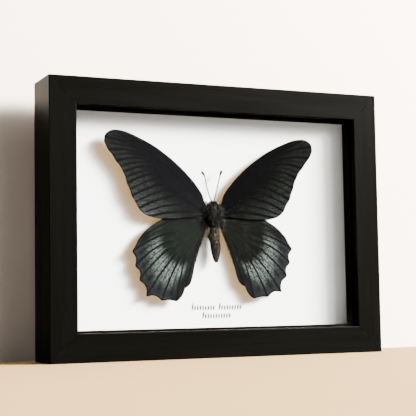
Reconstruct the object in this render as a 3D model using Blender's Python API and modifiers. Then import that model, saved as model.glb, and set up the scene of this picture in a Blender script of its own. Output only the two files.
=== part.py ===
"""A spread black butterfly behind glass in a small black shadow-box frame.

Metres, +Z up, +X to the viewer's right, +Y into the wall. The origin is at the bottom centre of the whole
object: the frame stands on its bottom rail. Sizes below are in millimetres and are multiplied by MM once.
"""

import math

import bmesh
import bpy
from mathutils import Matrix, Vector

MM = 0.001
GAP = 0.3 * MM  # clearance between pieces that touch on the real object

# ---- the frame ----
WIDTH = 203.0 * MM
HEIGHT = 153.6 * MM
RAIL_DEPTH = 29.6 * MM
BACK_FITTINGS = 1.9 * MM  # how far hanger, nails and bumpers stand behind the rails
RAIL_FACE = 15.5 * MM  # width of a rail seen from the front
LIP_WIDTH = 5.0 * MM  # the part of the face that overhangs the rabbet
LIP_DEPTH = 3.2 * MM
OUTER_ROUND = 0.5 * MM
INNER_ROUND = 0.6 * MM

# ---- the stack in the rabbet, front to back ----
GLASS_THICK = 2.0 * MM
BOARD_SETBACK = 12.8 * MM  # white paper face, behind the frame's front face
BOARD_THICK = 10.0 * MM
PANEL_THICK = 2.5 * MM
LINER_PROUD = 1.2 * MM  # how far the liner shows inside the lip

# ---- fittings on the back ----
POINT_WIDTH = 7.0 * MM
POINT_LENGTH = 14.0 * MM
POINT_THICK = 0.5 * MM
POINT_BITE = 4.5 * MM  # how far a point is driven into the wood
HANGER_LENGTH = 45.0 * MM
HANGER_HEIGHT = 8.0 * MM
HANGER_THICK = 0.8 * MM
HANGER_HOLE_X = 18.5 * MM
TOOTH_COUNT = 7
TOOTH_PITCH = 3.0 * MM
TOOTH_DEPTH = 1.6 * MM
NAIL_RADIUS = 0.6 * MM
NAIL_HEAD_RADIUS = 1.8 * MM
NAIL_HEAD_THICK = 0.5 * MM
NAIL_LENGTH = 9.0 * MM
BUMPER_RADIUS = 4.5 * MM
BUMPER_INSET = 6.0 * MM

# ---- the butterfly: its own axes are x out from the body line and z up from the frame's centre ----
BODY_X = -3.3 * MM
WING_THICK = 0.3 * MM
FOREWING_LIFT = 4.0 * MM  # middle of the forewing's root above the board
HINDWING_LIFT = 3.3 * MM
DIHEDRAL = math.radians(1.2)
RISER_SIZE = (5.0 * MM, 1.0 * MM, 13.0 * MM)
BODY_FLATTEN = 0.625  # depth of the body over its width

# ---- worked out ----
FRONT = -(RAIL_DEPTH + BACK_FITTINGS) / 2
RAIL_BACK = FRONT + RAIL_DEPTH
RABBET = RAIL_FACE - LIP_WIDTH
CENTRE_Z = HEIGHT / 2
GLASS_FRONT = FRONT + LIP_DEPTH + GAP
LINER_FRONT = GLASS_FRONT + GLASS_THICK + GAP
BOARD_FRONT = FRONT + BOARD_SETBACK
PANEL_FRONT = BOARD_FRONT + BOARD_THICK + GAP
POINT_FRONT = PANEL_FRONT + PANEL_THICK + GAP
HANGER_Z = HEIGHT - RABBET / 2 - 0.5 * MM


def fresh_collection(name):
    collection = bpy.data.collections.new(name)
    bpy.context.scene.collection.children.link(collection)
    return collection


for leftover in list(bpy.data.objects):
    bpy.data.objects.remove(leftover)
PARTS = fresh_collection("framed_butterfly")
CUTTERS = fresh_collection("cutters")


def material(name, color, roughness, metallic=0.0, transmission=0.0):
    made = bpy.data.materials.new(name)
    made.use_nodes = True
    shader = made.node_tree.nodes["Principled BSDF"]
    shader.inputs["Base Color"].default_value = (*color, 1.0)
    shader.inputs["Roughness"].default_value = roughness
    shader.inputs["Metallic"].default_value = metallic
    shader.inputs["Transmission Weight"].default_value = transmission
    return made


BLACK_WOOD = material("black_stained_wood", (0.012, 0.011, 0.010), 0.45)
BLACK_LINER = material("black_liner", (0.006, 0.006, 0.006), 0.7)
CLEAR_GLASS = material("clear_glass", (1.0, 1.0, 1.0), 0.02, transmission=1.0)
WHITE_BOARD = material("white_board", (0.86, 0.86, 0.85), 0.8)
HARDBOARD = material("brown_hardboard", (0.22, 0.13, 0.07), 0.75)
FOAM = material("white_foam", (0.80, 0.80, 0.78), 0.9)
STEEL = material("zinc_steel", (0.55, 0.55, 0.56), 0.35, metallic=1.0)
RUBBER = material("black_rubber", (0.02, 0.02, 0.02), 0.8)
WING_BLACK = material("wing_scales", (0.014, 0.015, 0.014), 0.8)
BODY_BLACK = material("body_fur", (0.018, 0.014, 0.011), 0.9)


def keep(obj, name, surface, smooth=False):
    """Name a finished object, give it its material and put it with the parts."""
    obj.name = name
    obj.data.name = name
    obj.data.materials.clear()
    obj.data.materials.append(surface)
    for collection in list(obj.users_collection):
        collection.objects.unlink(obj)
    PARTS.objects.link(obj)
    if smooth:
        obj.data.shade_smooth()
        obj.data.set_sharp_from_angle(angle=math.radians(35))
    return obj


def box(name, low, high, surface):
    low, high = Vector(low), Vector(high)
    bpy.ops.mesh.primitive_cube_add(size=1.0, location=(low + high) / 2)
    made = bpy.context.object
    made.scale = high - low
    bpy.ops.object.transform_apply(location=False, rotation=False, scale=True)
    return keep(made, name, surface)


def curve_to_mesh(curve_object):
    """The curve's evaluated shape as a welded mesh object with the same place in the world."""
    bpy.context.view_layer.update()
    evaluated = curve_object.evaluated_get(bpy.context.evaluated_depsgraph_get())
    mesh = bpy.data.meshes.new_from_object(evaluated)
    welded = bmesh.new()
    welded.from_mesh(mesh)
    bmesh.ops.remove_doubles(welded, verts=welded.verts, dist=0.002 * MM)
    welded.to_mesh(mesh)
    welded.free()
    made = bpy.data.objects.new(curve_object.name, mesh)
    bpy.context.scene.collection.objects.link(made)
    made.matrix_world = curve_object.matrix_world.copy()
    bpy.data.objects.remove(curve_object)
    return made


def slab(outlines, thickness):
    """A plate from closed 2D outlines, the edge and then any holes, centred on its own XY plane."""
    data = bpy.data.curves.new("slab", "CURVE")
    data.dimensions = "2D"
    data.fill_mode = "BOTH"
    data.extrude = thickness / 2
    for outline in outlines:
        spline = data.splines.new("POLY")
        spline.points.add(len(outline) - 1)
        for point, (x, y) in zip(spline.points, outline):
            point.co = (x, y, 0.0, 1.0)
        spline.use_cyclic_u = True
    made = bpy.data.objects.new("slab", data)
    bpy.context.scene.collection.objects.link(made)
    return curve_to_mesh(made)


def circle(centre_x, centre_y, radius, sides):
    turns = [math.tau * i / sides for i in range(sides)]
    return [(centre_x + radius * math.cos(t), centre_y + radius * math.sin(t)) for t in turns]


def rounded(corners, steps=3):
    """A polygon whose corners (x, y, radius) become arcs; a radius of zero keeps a corner sharp."""
    outline = []
    for i, (x, y, radius) in enumerate(corners):
        corner = Vector((x, y))
        if radius == 0:
            outline.append((x, y))
            continue
        before = (Vector(corners[i - 1][:2]) - corner).normalized()
        after = (Vector(corners[(i + 1) % len(corners)][:2]) - corner).normalized()
        start, end = corner + before * radius, corner + after * radius
        centre = corner + (before + after) * radius
        for step in range(steps + 1):
            share = step / steps * math.pi / 2
            spoke = (start - centre) * math.cos(share) + (end - centre) * math.sin(share)
            outline.append(tuple(centre + spoke))
    return outline


def upright(x, y, z):
    """Stands a slab in the picture's plane: its own X is world X, its own Y is world Z."""
    return Matrix.Translation((x, y, z)) @ Matrix.Rotation(math.pi / 2, 4, "X")


def turned(name, profile, place, surface, steps=20):
    """A profile of (radius, height) points, top to bottom, turned about its own Z axis."""
    mesh = bpy.data.meshes.new(name)
    mesh.from_pydata([(r, 0.0, h) for r, h in profile], [(i, i + 1) for i in range(len(profile) - 1)], [])
    made = bpy.data.objects.new(name, mesh)
    bpy.context.scene.collection.objects.link(made)
    screw = made.modifiers.new("turn", "SCREW")
    screw.steps = steps
    screw.render_steps = steps
    screw.use_merge_vertices = True
    screw.merge_threshold = 0.00001
    made.matrix_world = place
    return keep(made, name, surface)


def cut(target, cutter):
    """Takes the cutter's shape out of the target for good and keeps the cutter as a wire guide."""
    difference = target.modifiers.new("cut", "BOOLEAN")
    difference.operation = "DIFFERENCE"
    difference.object = cutter
    for collection in list(cutter.users_collection):
        collection.objects.unlink(cutter)
    CUTTERS.objects.link(cutter)
    cutter.hide_render = True
    cutter.display_type = "WIRE"


# ---- the frame's four rails ----

# Along a rail's own axes X is inward over the opening, Y is back from the front face and Z runs along it.
RAILS = {
    "bottom_rail": {"inward": (0, 0, 1), "middle": (0, 0, 0), "length": WIDTH},
    "top_rail": {"inward": (0, 0, -1), "middle": (0, 0, HEIGHT), "length": WIDTH},
    "left_rail": {"inward": (1, 0, 0), "middle": (-WIDTH / 2, 0, CENTRE_Z), "length": HEIGHT},
    "right_rail": {"inward": (-1, 0, 0), "middle": (WIDTH / 2, 0, CENTRE_Z), "length": HEIGHT},
}


def rail_axes(rail):
    inward = Vector(rail["inward"])
    back = Vector((0, 1, 0))
    along = inward.cross(back)
    turn = Matrix((inward, back, along)).transposed().to_4x4()
    return Matrix.Translation(Vector(rail["middle"]) + Vector((0, FRONT, 0))) @ turn


def rail_profile():
    return rounded([
        (0.0, 0.0, OUTER_ROUND),
        (RAIL_FACE, 0.0, INNER_ROUND),
        (RAIL_FACE, LIP_DEPTH, 0.0),
        (RABBET, LIP_DEPTH, 0.0),
        (RABBET, RAIL_DEPTH, 0.0),
        (0.0, RAIL_DEPTH, OUTER_ROUND),
    ])


def make_rail(name, rail):
    """An L-shaped moulding whose ends are sheared to 45 degrees, half a gap short of the mitre."""
    made = slab([rail_profile()], rail["length"])
    for vertex in made.data.vertices:
        side = math.copysign(1.0, vertex.co.z)
        vertex.co.z = side * (rail["length"] / 2 - vertex.co.x - GAP / 2)
    made.matrix_world = rail_axes(rail)
    return keep(made, name, BLACK_WOOD, smooth=True)


rails = {name: make_rail(name, rail) for name, rail in RAILS.items()}

# ---- glass, board and back panel fill the rabbet; the liner keeps glass and board apart ----

INSIDE_X = WIDTH / 2 - RABBET - GAP
INSIDE_LOW = RABBET + GAP
INSIDE_HIGH = HEIGHT - RABBET - GAP


def sheet(name, front, thickness, surface):
    return box(name, (-INSIDE_X, front, INSIDE_LOW), (INSIDE_X, front + thickness, INSIDE_HIGH), surface)


sheet("glass_pane", GLASS_FRONT, GLASS_THICK, CLEAR_GLASS)
sheet("mount_board", BOARD_FRONT, BOARD_THICK, WHITE_BOARD)
sheet("back_panel", PANEL_FRONT, PANEL_THICK, HARDBOARD)

LINER_BACK = BOARD_FRONT - GAP
LINER_THICK = LIP_WIDTH - GAP + LINER_PROUD
SIDE_LOW = INSIDE_LOW + LINER_THICK + GAP
SIDE_HIGH = INSIDE_HIGH - LINER_THICK - GAP


def liner(name, low_x, high_x, low_z, high_z):
    box(name, (low_x, LINER_FRONT, low_z), (high_x, LINER_BACK, high_z), BLACK_LINER)


liner("bottom_liner", -INSIDE_X, INSIDE_X, INSIDE_LOW, INSIDE_LOW + LINER_THICK)
liner("top_liner", -INSIDE_X, INSIDE_X, INSIDE_HIGH - LINER_THICK, INSIDE_HIGH)
liner("left_liner", -INSIDE_X, -INSIDE_X + LINER_THICK, SIDE_LOW, SIDE_HIGH)
liner("right_liner", INSIDE_X - LINER_THICK, INSIDE_X, SIDE_LOW, SIDE_HIGH)

# ---- bendable points hold the panel: each is driven into the rabbet's wall and lies on the panel ----

POINTS = [
    ("bottom_rail", -WIDTH / 4),
    ("bottom_rail", WIDTH / 4),
    ("top_rail", -WIDTH / 4),
    ("top_rail", WIDTH / 4),
    ("left_rail", 0.0),
    ("right_rail", 0.0),
]


def point_outline():
    """A tongue with a round free end at +X and a sharpened end at -X, from the rabbet's wall at 0."""
    half = POINT_WIDTH / 2
    free = POINT_LENGTH - POINT_BITE - half
    tip = [(free + half * math.sin(t), -half * math.cos(t)) for t in (math.pi * i / 8 for i in range(9))]
    lower = [(-POINT_BITE, -half / 4), (-POINT_BITE / 2, -half)]
    upper = [(-POINT_BITE / 2, half), (-POINT_BITE, half / 4)]
    return [*lower, *tip, *upper]


def make_point(number, rail_name, offset):
    axes = rail_axes(RAILS[rail_name])
    depth = POINT_FRONT - FRONT + POINT_THICK / 2
    # the slab's own XY plane turned into the rail's inward-along plane
    place = axes @ Matrix.Translation((RABBET, depth, offset)) @ Matrix.Rotation(math.pi / 2, 4, "X")
    made = slab([point_outline()], POINT_THICK)
    made.matrix_world = place
    slot_y, slot_z = POINT_WIDTH / 2 + GAP, POINT_THICK / 2 + GAP
    slot = box("point_slot_%d" % number, (-POINT_BITE - GAP, -slot_y, -slot_z), (GAP, slot_y, slot_z), STEEL)
    slot.matrix_world = place @ slot.matrix_world
    cut(rails[rail_name], slot)
    keep(made, "panel_point_%d" % number, STEEL)


for number, (rail_name, offset) in enumerate(POINTS, start=1):
    make_point(number, rail_name, offset)

# ---- sawtooth hanger and its nails on the top rail, rubber bumpers on the bottom rail ----


def hanger_outline():
    """A strip with round-cornered ends and a row of teeth in the middle of its lower edge."""
    half_x, half_z = HANGER_LENGTH / 2, HANGER_HEIGHT / 2
    corner = 2.0 * MM
    teeth = []
    for i in range(TOOTH_COUNT):
        left = (i - TOOTH_COUNT / 2) * TOOTH_PITCH
        teeth += [(left, -half_z, 0.0), (left + TOOTH_PITCH / 2, -half_z + TOOTH_DEPTH, 0.0)]
    teeth.append((TOOTH_COUNT / 2 * TOOTH_PITCH, -half_z, 0.0))
    right_end = [(half_x, -half_z, corner), (half_x, half_z, corner)]
    left_end = [(-half_x, half_z, corner), (-half_x, -half_z, corner)]
    return rounded(teeth + right_end + left_end)


HANGER_BACK = RAIL_BACK + GAP + HANGER_THICK
NAIL_HEAD_BACK = RAIL_BACK + BACK_FITTINGS
NAIL_HOLE_RADIUS = NAIL_RADIUS + GAP
hanger_holes = [circle(side * HANGER_HOLE_X, 0.0, NAIL_HOLE_RADIUS, 16) for side in (-1, 1)]
hanger = slab([hanger_outline(), *hanger_holes], HANGER_THICK)
hanger.matrix_world = upright(0.0, HANGER_BACK - HANGER_THICK / 2, HANGER_Z)
keep(hanger, "sawtooth_hanger", STEEL)


def backwards(x, y, z):
    """Turns a piece's own +Z towards the wall."""
    return Matrix.Translation((x, y, z)) @ Matrix.Rotation(-math.pi / 2, 4, "X")


def make_nail(name, x):
    profile = [
        (0.0, 0.0),
        (NAIL_HEAD_RADIUS * 0.8, 0.0),
        (NAIL_HEAD_RADIUS, -NAIL_HEAD_THICK * 0.4),
        (NAIL_HEAD_RADIUS, -NAIL_HEAD_THICK),
        (NAIL_RADIUS, -NAIL_HEAD_THICK),
        (NAIL_RADIUS, -NAIL_LENGTH + 2 * NAIL_RADIUS),
        (0.0, -NAIL_LENGTH),
    ]
    turned(name, profile, backwards(x, NAIL_HEAD_BACK, HANGER_Z), STEEL, steps=16)
    bore_top = GAP
    bore_bottom = -(RAIL_BACK - (NAIL_HEAD_BACK - NAIL_LENGTH)) - GAP
    wall = NAIL_HOLE_RADIUS
    bore_profile = [(0.0, bore_top), (wall, bore_top), (wall, bore_bottom), (0.0, bore_bottom)]
    bore = turned(name + "_bore", bore_profile, backwards(x, RAIL_BACK, HANGER_Z), STEEL, steps=16)
    cut(rails["top_rail"], bore)


make_nail("hanger_nail_left", -HANGER_HOLE_X)
make_nail("hanger_nail_right", HANGER_HOLE_X)


def make_bumper(name, x):
    height = BACK_FITTINGS - GAP
    side = 0.3 * height
    crown = [(BUMPER_RADIUS * (1 - 0.35 * (1 - math.cos(t))), side + (height - side) * math.sin(t))
             for t in (math.pi / 2 * i / 5 for i in range(5, -1, -1))]
    turned(name, [(0.0, height), *crown, (BUMPER_RADIUS, 0.0), (0.0, 0.0)],
           backwards(x, RAIL_BACK + GAP, BUMPER_INSET), RUBBER, steps=24)


make_bumper("wall_bumper_left", -WIDTH / 2 + BUMPER_INSET)
make_bumper("wall_bumper_right", WIDTH / 2 - BUMPER_INSET)

# ---- the butterfly ----


def smooth_line(points, steps):
    """A Catmull-Rom line through the points, without the last one."""
    line = []
    ends = [Vector(points[0]) * 2 - Vector(points[1]), *map(Vector, points),
            Vector(points[-1]) * 2 - Vector(points[-2])]
    for a, b, c, d in zip(ends, ends[1:], ends[2:], ends[3:]):
        for step in range(steps):
            t = step / steps
            line.append(0.5 * (2 * b + (c - a) * t + (2 * a - 5 * b + 4 * c - d) * t ** 2
                               + (3 * b - a - 3 * c + d) * t ** 3))
    return line


def scallops(tips, dips, steps):
    """The wing's toothed edge: from one vein's tip to the next the margin dips inward as half a sine wave."""
    line = []
    for start, end, dip in zip(tips, tips[1:], dips):
        start, end = Vector(start), Vector(end)
        inward = Vector((end.y - start.y, start.x - end.x)).normalized()
        for step in range(steps):
            t = step / steps
            line.append(start.lerp(end, t) + inward * dip * math.sin(math.pi * t))
    return line


# Right-hand wings in millimetres: x out from the body line, z up from the frame's centre.
FORE_COSTA = [(4.7, 9.4), (7.2, 16), (14.5, 24.9), (23.5, 33.1), (34, 40.5), (44, 45.6), (53, 49),
              (60, 49.6), (64.5, 47), (65.4, 43)]
FORE_TIPS = [(65.4, 43), (63.3, 38.4), (58.6, 32.2), (54.4, 26.3), (52.3, 20), (49.7, 13.2), (45.6, 6.4),
             (39.5, 2.1)]
FORE_DIPS = [0.0, 0.4, 0.5, 0.5, 0.5, 0.4, -0.5]
FORE_INNER = [(39.5, 2.1), (32, 0.9), (20, 1.2), (9, 2.2), (4.7, 3.5)]
HIND_COSTA = [(4.0, 3.0), (14, 5.5), (25, 4.2), (33, 0.5), (40.9, -4.6), (45.8, -9.8)]
HIND_TIPS = [(45.8, -9.8), (50, -16.6), (48.4, -24.6), (46.1, -32.4), (42.2, -41.8), (32.9, -44.3),
             (24, -45), (18.6, -37.6)]
HIND_DIPS = [0.2, 1.5, 1.6, 1.9, 1.6, 0.5, -0.9]
HIND_INNER = [(18.6, -37.6), (16, -36), (14, -32.4), (11.4, -22.5), (6.6, -9.5), (4.0, -3.0)]
EDGE_STEPS = 4


def forewing_outline():
    return [*smooth_line(FORE_COSTA, EDGE_STEPS), *scallops(FORE_TIPS, FORE_DIPS, EDGE_STEPS),
            *smooth_line(FORE_INNER, EDGE_STEPS), Vector(FORE_INNER[-1])]


def hindwing_outline():
    return [*smooth_line(HIND_COSTA, EDGE_STEPS), *scallops(HIND_TIPS, HIND_DIPS, EDGE_STEPS),
            *smooth_line(HIND_INNER, EDGE_STEPS), Vector(HIND_INNER[-1])]


def make_wing(name, outline, side, lift, size, turn):
    """A thin plate in the picture's plane, mirrored for the left side, that rises towards its tip."""
    set_as = Matrix.Scale(size * MM, 2) @ Matrix.Rotation(math.radians(turn), 2)
    flat = [(side * p.x, p.y) for p in (set_as @ q for q in outline)]
    made = slab([flat], WING_THICK)
    rise = Matrix.Rotation(-side * DIHEDRAL, 4, "Z")
    made.matrix_world = (Matrix.Translation((BODY_X, BOARD_FRONT - lift, CENTRE_Z)) @ rise
                         @ upright(0.0, 0.0, 0.0))
    keep(made, name, WING_BLACK)


# The two sides differ a little, as in any specimen: the forewing's size, the hindwing's turn up in degrees.
FORE_SIZE = {"left": 1.0, "right": 0.985}
HIND_TURN = {"left": -1.0, "right": 1.0}

for side_name, side in (("left", -1), ("right", 1)):
    make_wing(side_name + "_forewing", forewing_outline(), side, FOREWING_LIFT, FORE_SIZE[side_name], 0.0)
    make_wing(side_name + "_hindwing", hindwing_outline(), side, HINDWING_LIFT, 1.0, HIND_TURN[side_name])

RISER_FRONT = BOARD_FRONT - GAP - RISER_SIZE[1]
box("riser_block", (BODY_X - RISER_SIZE[0] / 2, RISER_FRONT, CENTRE_Z - 1.0 * MM),
    (BODY_X + RISER_SIZE[0] / 2, RISER_FRONT + RISER_SIZE[1], CENTRE_Z - 1.0 * MM + RISER_SIZE[2]), FOAM)

# Height from the frame's centre, sideways bend and half width, down head, neck, thorax, waist and abdomen
BODY_STATIONS = [(11.2, 0.0, 0.5), (10.9, 0.0, 1.3), (10.0, 0.0, 1.9), (8.8, 0.0, 1.8), (8.2, 0.0, 1.8),
                 (6.8, 0.0, 3.3), (4.2, 0.0, 4.0), (1.0, 0.1, 3.7), (-2.6, 0.4, 2.7), (-6.0, 0.7, 2.7),
                 (-11.0, 0.9, 2.8), (-16.0, 1.1, 2.5), (-20.5, 1.3, 1.9), (-22.8, 1.4, 1.1),
                 (-23.5, 1.4, 0.4)]
BODY_HALF_DEPTH = 4.0 * MM * BODY_FLATTEN


def make_body():
    """One grown piece: a curve down the body's line whose radius follows head, thorax and abdomen."""
    data = bpy.data.curves.new("body", "CURVE")
    data.dimensions = "3D"
    data.bevel_depth = 1.0 * MM
    data.bevel_resolution = 4
    data.use_fill_caps = True
    line = smooth_line(BODY_STATIONS, 2) + [Vector(BODY_STATIONS[-1])]
    spline = data.splines.new("POLY")
    spline.points.add(len(line) - 1)
    for point, (height, bend, half_width) in zip(spline.points, line):
        point.co = (bend * MM, 0.0, height * MM, 1.0)
        point.radius = half_width
    made = bpy.data.objects.new("body", data)
    bpy.context.scene.collection.objects.link(made)
    middle_y = RISER_FRONT - GAP - BODY_HALF_DEPTH
    made.matrix_world = (Matrix.Translation((BODY_X, middle_y, CENTRE_Z))
                         @ Matrix.Diagonal((1.0, BODY_FLATTEN, 1.0, 1.0)))
    keep(curve_to_mesh(made), "butterfly_body", BODY_BLACK, smooth=True)
    return middle_y


BODY_Y = make_body()

# From the head's crown to the club, as (x, z) in millimetres from the body line and the frame's centre.
ANTENNAE = {
    "left_antenna": [(-1.2, 11.6), (-2.6, 15.5), (-4.0, 20.3), (-5.1, 25.6), (-6.9, 28.1)],
    "right_antenna": [(0.7, 11.6), (1.7, 15.5), (3.0, 20.3), (4.4, 25.6), (5.6, 29.1)],
}
ANTENNA_RADIUS = 0.16 * MM
CLUB_SWELL = 2.2  # the club's radius over the stem's


def make_antenna(name, route):
    """A thin clubbed wire: a curve whose radius swells over its last fifth."""
    data = bpy.data.curves.new(name, "CURVE")
    data.dimensions = "3D"
    data.bevel_depth = ANTENNA_RADIUS
    data.bevel_resolution = 2
    data.use_fill_caps = True
    line = smooth_line(route, 3) + [Vector(route[-1])]
    spline = data.splines.new("POLY")
    spline.points.add(len(line) - 1)
    for i, (point, (x, z)) in enumerate(zip(spline.points, line)):
        share = i / (len(line) - 1)
        point.co = (x * MM, 0.0, z * MM, 1.0)
        point.radius = 1.0 + (CLUB_SWELL - 1.0) * max(0.0, (share - 0.75) / 0.25)
    made = bpy.data.objects.new(name, data)
    bpy.context.scene.collection.objects.link(made)
    made.matrix_world = Matrix.Translation((BODY_X, BODY_Y, CENTRE_Z))
    keep(curve_to_mesh(made), name, BODY_BLACK, smooth=True)


for antenna_name, route in ANTENNAE.items():
    make_antenna(antenna_name, route)
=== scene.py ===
# %% [markdown]
# # A spread butterfly in a black shadow-box frame
# The rigid things, such as rails, glass, board and fittings, come from the CAD model, where every size is
# already right. This lesson gives them real surfaces, and it grows the butterfly anew: thin veined wings,
# a furry body and jointed antennae are shapes that CAD solids only stand in for.

# %% load the CAD model
import math

import bmesh
import bpy
import numpy as np
from mathutils import Matrix, Vector, geometry, noise


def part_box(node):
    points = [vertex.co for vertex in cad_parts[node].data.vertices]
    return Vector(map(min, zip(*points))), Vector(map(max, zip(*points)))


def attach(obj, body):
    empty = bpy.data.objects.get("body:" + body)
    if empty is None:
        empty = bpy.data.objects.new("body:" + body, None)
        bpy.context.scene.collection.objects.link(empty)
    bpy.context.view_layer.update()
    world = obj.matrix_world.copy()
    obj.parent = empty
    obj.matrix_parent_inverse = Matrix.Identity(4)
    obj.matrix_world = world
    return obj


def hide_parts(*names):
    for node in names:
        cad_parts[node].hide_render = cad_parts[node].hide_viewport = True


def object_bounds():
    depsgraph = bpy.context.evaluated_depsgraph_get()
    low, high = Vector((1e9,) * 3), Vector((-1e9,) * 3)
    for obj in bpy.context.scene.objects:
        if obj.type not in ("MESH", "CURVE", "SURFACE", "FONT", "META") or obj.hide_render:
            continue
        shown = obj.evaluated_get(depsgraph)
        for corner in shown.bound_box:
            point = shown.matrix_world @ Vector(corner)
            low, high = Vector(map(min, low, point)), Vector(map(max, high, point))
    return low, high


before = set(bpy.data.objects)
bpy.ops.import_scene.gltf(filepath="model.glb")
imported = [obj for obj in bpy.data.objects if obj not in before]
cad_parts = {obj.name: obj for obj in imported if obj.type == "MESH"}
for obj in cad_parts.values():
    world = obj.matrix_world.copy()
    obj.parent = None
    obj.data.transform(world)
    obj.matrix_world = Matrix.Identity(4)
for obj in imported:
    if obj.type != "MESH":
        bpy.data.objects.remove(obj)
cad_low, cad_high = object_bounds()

print("parts:", len(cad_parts), "box in mm:", [round(v * 1000, 1) for v in cad_high - cad_low])

# %% [markdown]
# ## Where things are
# Every place is read from the CAD parts, so nothing has to be fitted by eye. The specimen has its own
# axes: x sideways from the line of the body, z up from the middle of the frame, and lift, which is the
# height above the white board, towards the viewer. All three are in millimetres.

# %% places
MM = 0.001
SIDES = (("left", -1), ("right", 1))
riser_low, riser_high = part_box("riser_block")
BOARD_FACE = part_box("mount_board")[0].y
GLASS_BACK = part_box("glass_pane")[1].y
BODY_LINE = (riser_low.x + riser_high.x) / 2
MIDDLE_HEIGHT = (cad_low.z + cad_high.z) / 2
FRAME_WIDTH = cad_high.x - cad_low.x


def placed(points):
    """Rows of (x, z, lift) in millimetres as rows of places in the scene, in metres."""
    x, z, lift = np.asarray(points, float).T
    return np.column_stack([BODY_LINE + x * MM, BOARD_FACE - lift * MM, MIDDLE_HEIGHT + z * MM])


AIR_GAP = (BOARD_FACE - GLASS_BACK) / MM
print("room between board and glass, mm:", round(AIR_GAP, 2))

# %% [markdown]
# ## Camera
# The frame is seen from its left and from a little below its middle, with a long lens, so that its edges
# hardly converge. The camera's place is given in frame widths from the middle of the front face, and its
# turn as the three directions of a rotation matrix: right, up and backwards.

# %% camera
CAMERA_REACH = Vector((-1.312, -2.841, -0.216))
LOOKING = Vector((0.4048, 0.9109, 0.0799)).normalized()
TO_THE_RIGHT = Vector((0.9142, -0.4049, -0.0158))

right = (TO_THE_RIGHT - TO_THE_RIGHT.dot(LOOKING) * LOOKING).normalized()
turn = Matrix((right, right.cross(LOOKING), -LOOKING)).transposed()
camera_data = bpy.data.cameras.new("long_lens")
camera_data.lens = 97.9
camera_data.sensor_width = 36.0
camera_data.clip_start = 0.01
camera = bpy.data.objects.new("camera", camera_data)
bpy.context.scene.collection.objects.link(camera)
front_middle = Vector((0.0, cad_low.y, MIDDLE_HEIGHT))
camera.matrix_world = Matrix.Translation(front_middle + CAMERA_REACH * FRAME_WIDTH) @ turn.to_4x4()
bpy.context.scene.camera = camera
print("camera at", [round(v, 3) for v in camera.location])

# %% [markdown]
# ## Small tools for node trees
# A material is a tree of nodes. Writing one by hand takes two lines for every link, so one helper adds a
# node and fills its inputs: an input that is given another node's output is linked to it, and anything
# else is set on the socket itself. Constants therefore always end up on the shader's own socket.

# %% node helpers


def feed(tree, socket, value):
    if isinstance(value, bpy.types.NodeSocket):
        tree.links.new(value, socket)
    elif hasattr(value, "__len__") and len(value) == 3 and socket.type == "RGBA":
        socket.default_value = (*value, 1.0)
    else:
        socket.default_value = value


def add(tree, kind, inputs=None, **settings):
    """A new node of that kind, with its settings made and its inputs linked or set."""
    made = tree.nodes.new("ShaderNode" + kind)
    for name, value in settings.items():
        setattr(made, name, value)
    for name, value in (inputs or {}).items():
        feed(tree, made.inputs[name], value)
    return made


def math_node(tree, operation, a, b=0.0, clamp=False):
    return add(tree, "Math", {0: a, 1: b}, operation=operation, use_clamp=clamp).outputs[0]


def blend_colours(tree, share, a, b):
    made = add(tree, "Mix", data_type="RGBA")
    for name, value in (("Factor_Float", share), ("A_Color", a), ("B_Color", b)):
        feed(tree, next(s for s in made.inputs if s.identifier == name), value)
    return next(s for s in made.outputs if s.identifier == "Result_Color")


def ramp_between(tree, value, low, high, at_low=0.0, at_high=1.0):
    """A smooth step from at_low to at_high while the value goes from low to high."""
    limits = {"Value": value, "From Min": low, "From Max": high, "To Min": at_low, "To Max": at_high}
    return add(tree, "MapRange", limits, interpolation_type="SMOOTHSTEP").outputs[0]


def fresh_material(name):
    """An empty material and the tree it is built in."""
    made = bpy.data.materials.new(name)
    made.use_nodes = True
    made.node_tree.nodes.clear()
    return made, made.node_tree


def finish_material(tree, shader):
    add(tree, "OutputMaterial", {"Surface": shader})


def new_group(name, inputs, outputs):
    """An empty shader group with named sockets. Inputs are (name, socket type, default value)."""
    group = bpy.data.node_groups.new(name, "ShaderNodeTree")
    for socket_name, kind, default in inputs:
        socket = group.interface.new_socket(name=socket_name, in_out="INPUT", socket_type=kind)
        socket.default_value = default
    for socket_name, kind in outputs:
        group.interface.new_socket(name=socket_name, in_out="OUTPUT", socket_type=kind)
    return group, group.nodes.new("NodeGroupInput"), group.nodes.new("NodeGroupOutput")


def use_group(tree, group, **values):
    """The group placed in a tree, with its inputs named in lower case and with underscores."""
    made = tree.nodes.new("ShaderNodeGroup")
    made.node_tree = group
    for name, value in values.items():
        feed(tree, made.inputs[name.replace("_", " ").capitalize()], value)
    return made.outputs


NUMBER, VECTOR = "NodeSocketFloat", "NodeSocketVector"
print("helpers ready")

# %% [markdown]
# ## Wood grain, shared by both directions of rail
# Stained wood shows long thin pores that follow the rail. The group stretches the position along one axis
# before it reaches two noises: a slow one for the tone of the boards, and a fine one that is cut off high,
# so that only its peaks show as pores. Both rails use the group, each with its own stretch.

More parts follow.
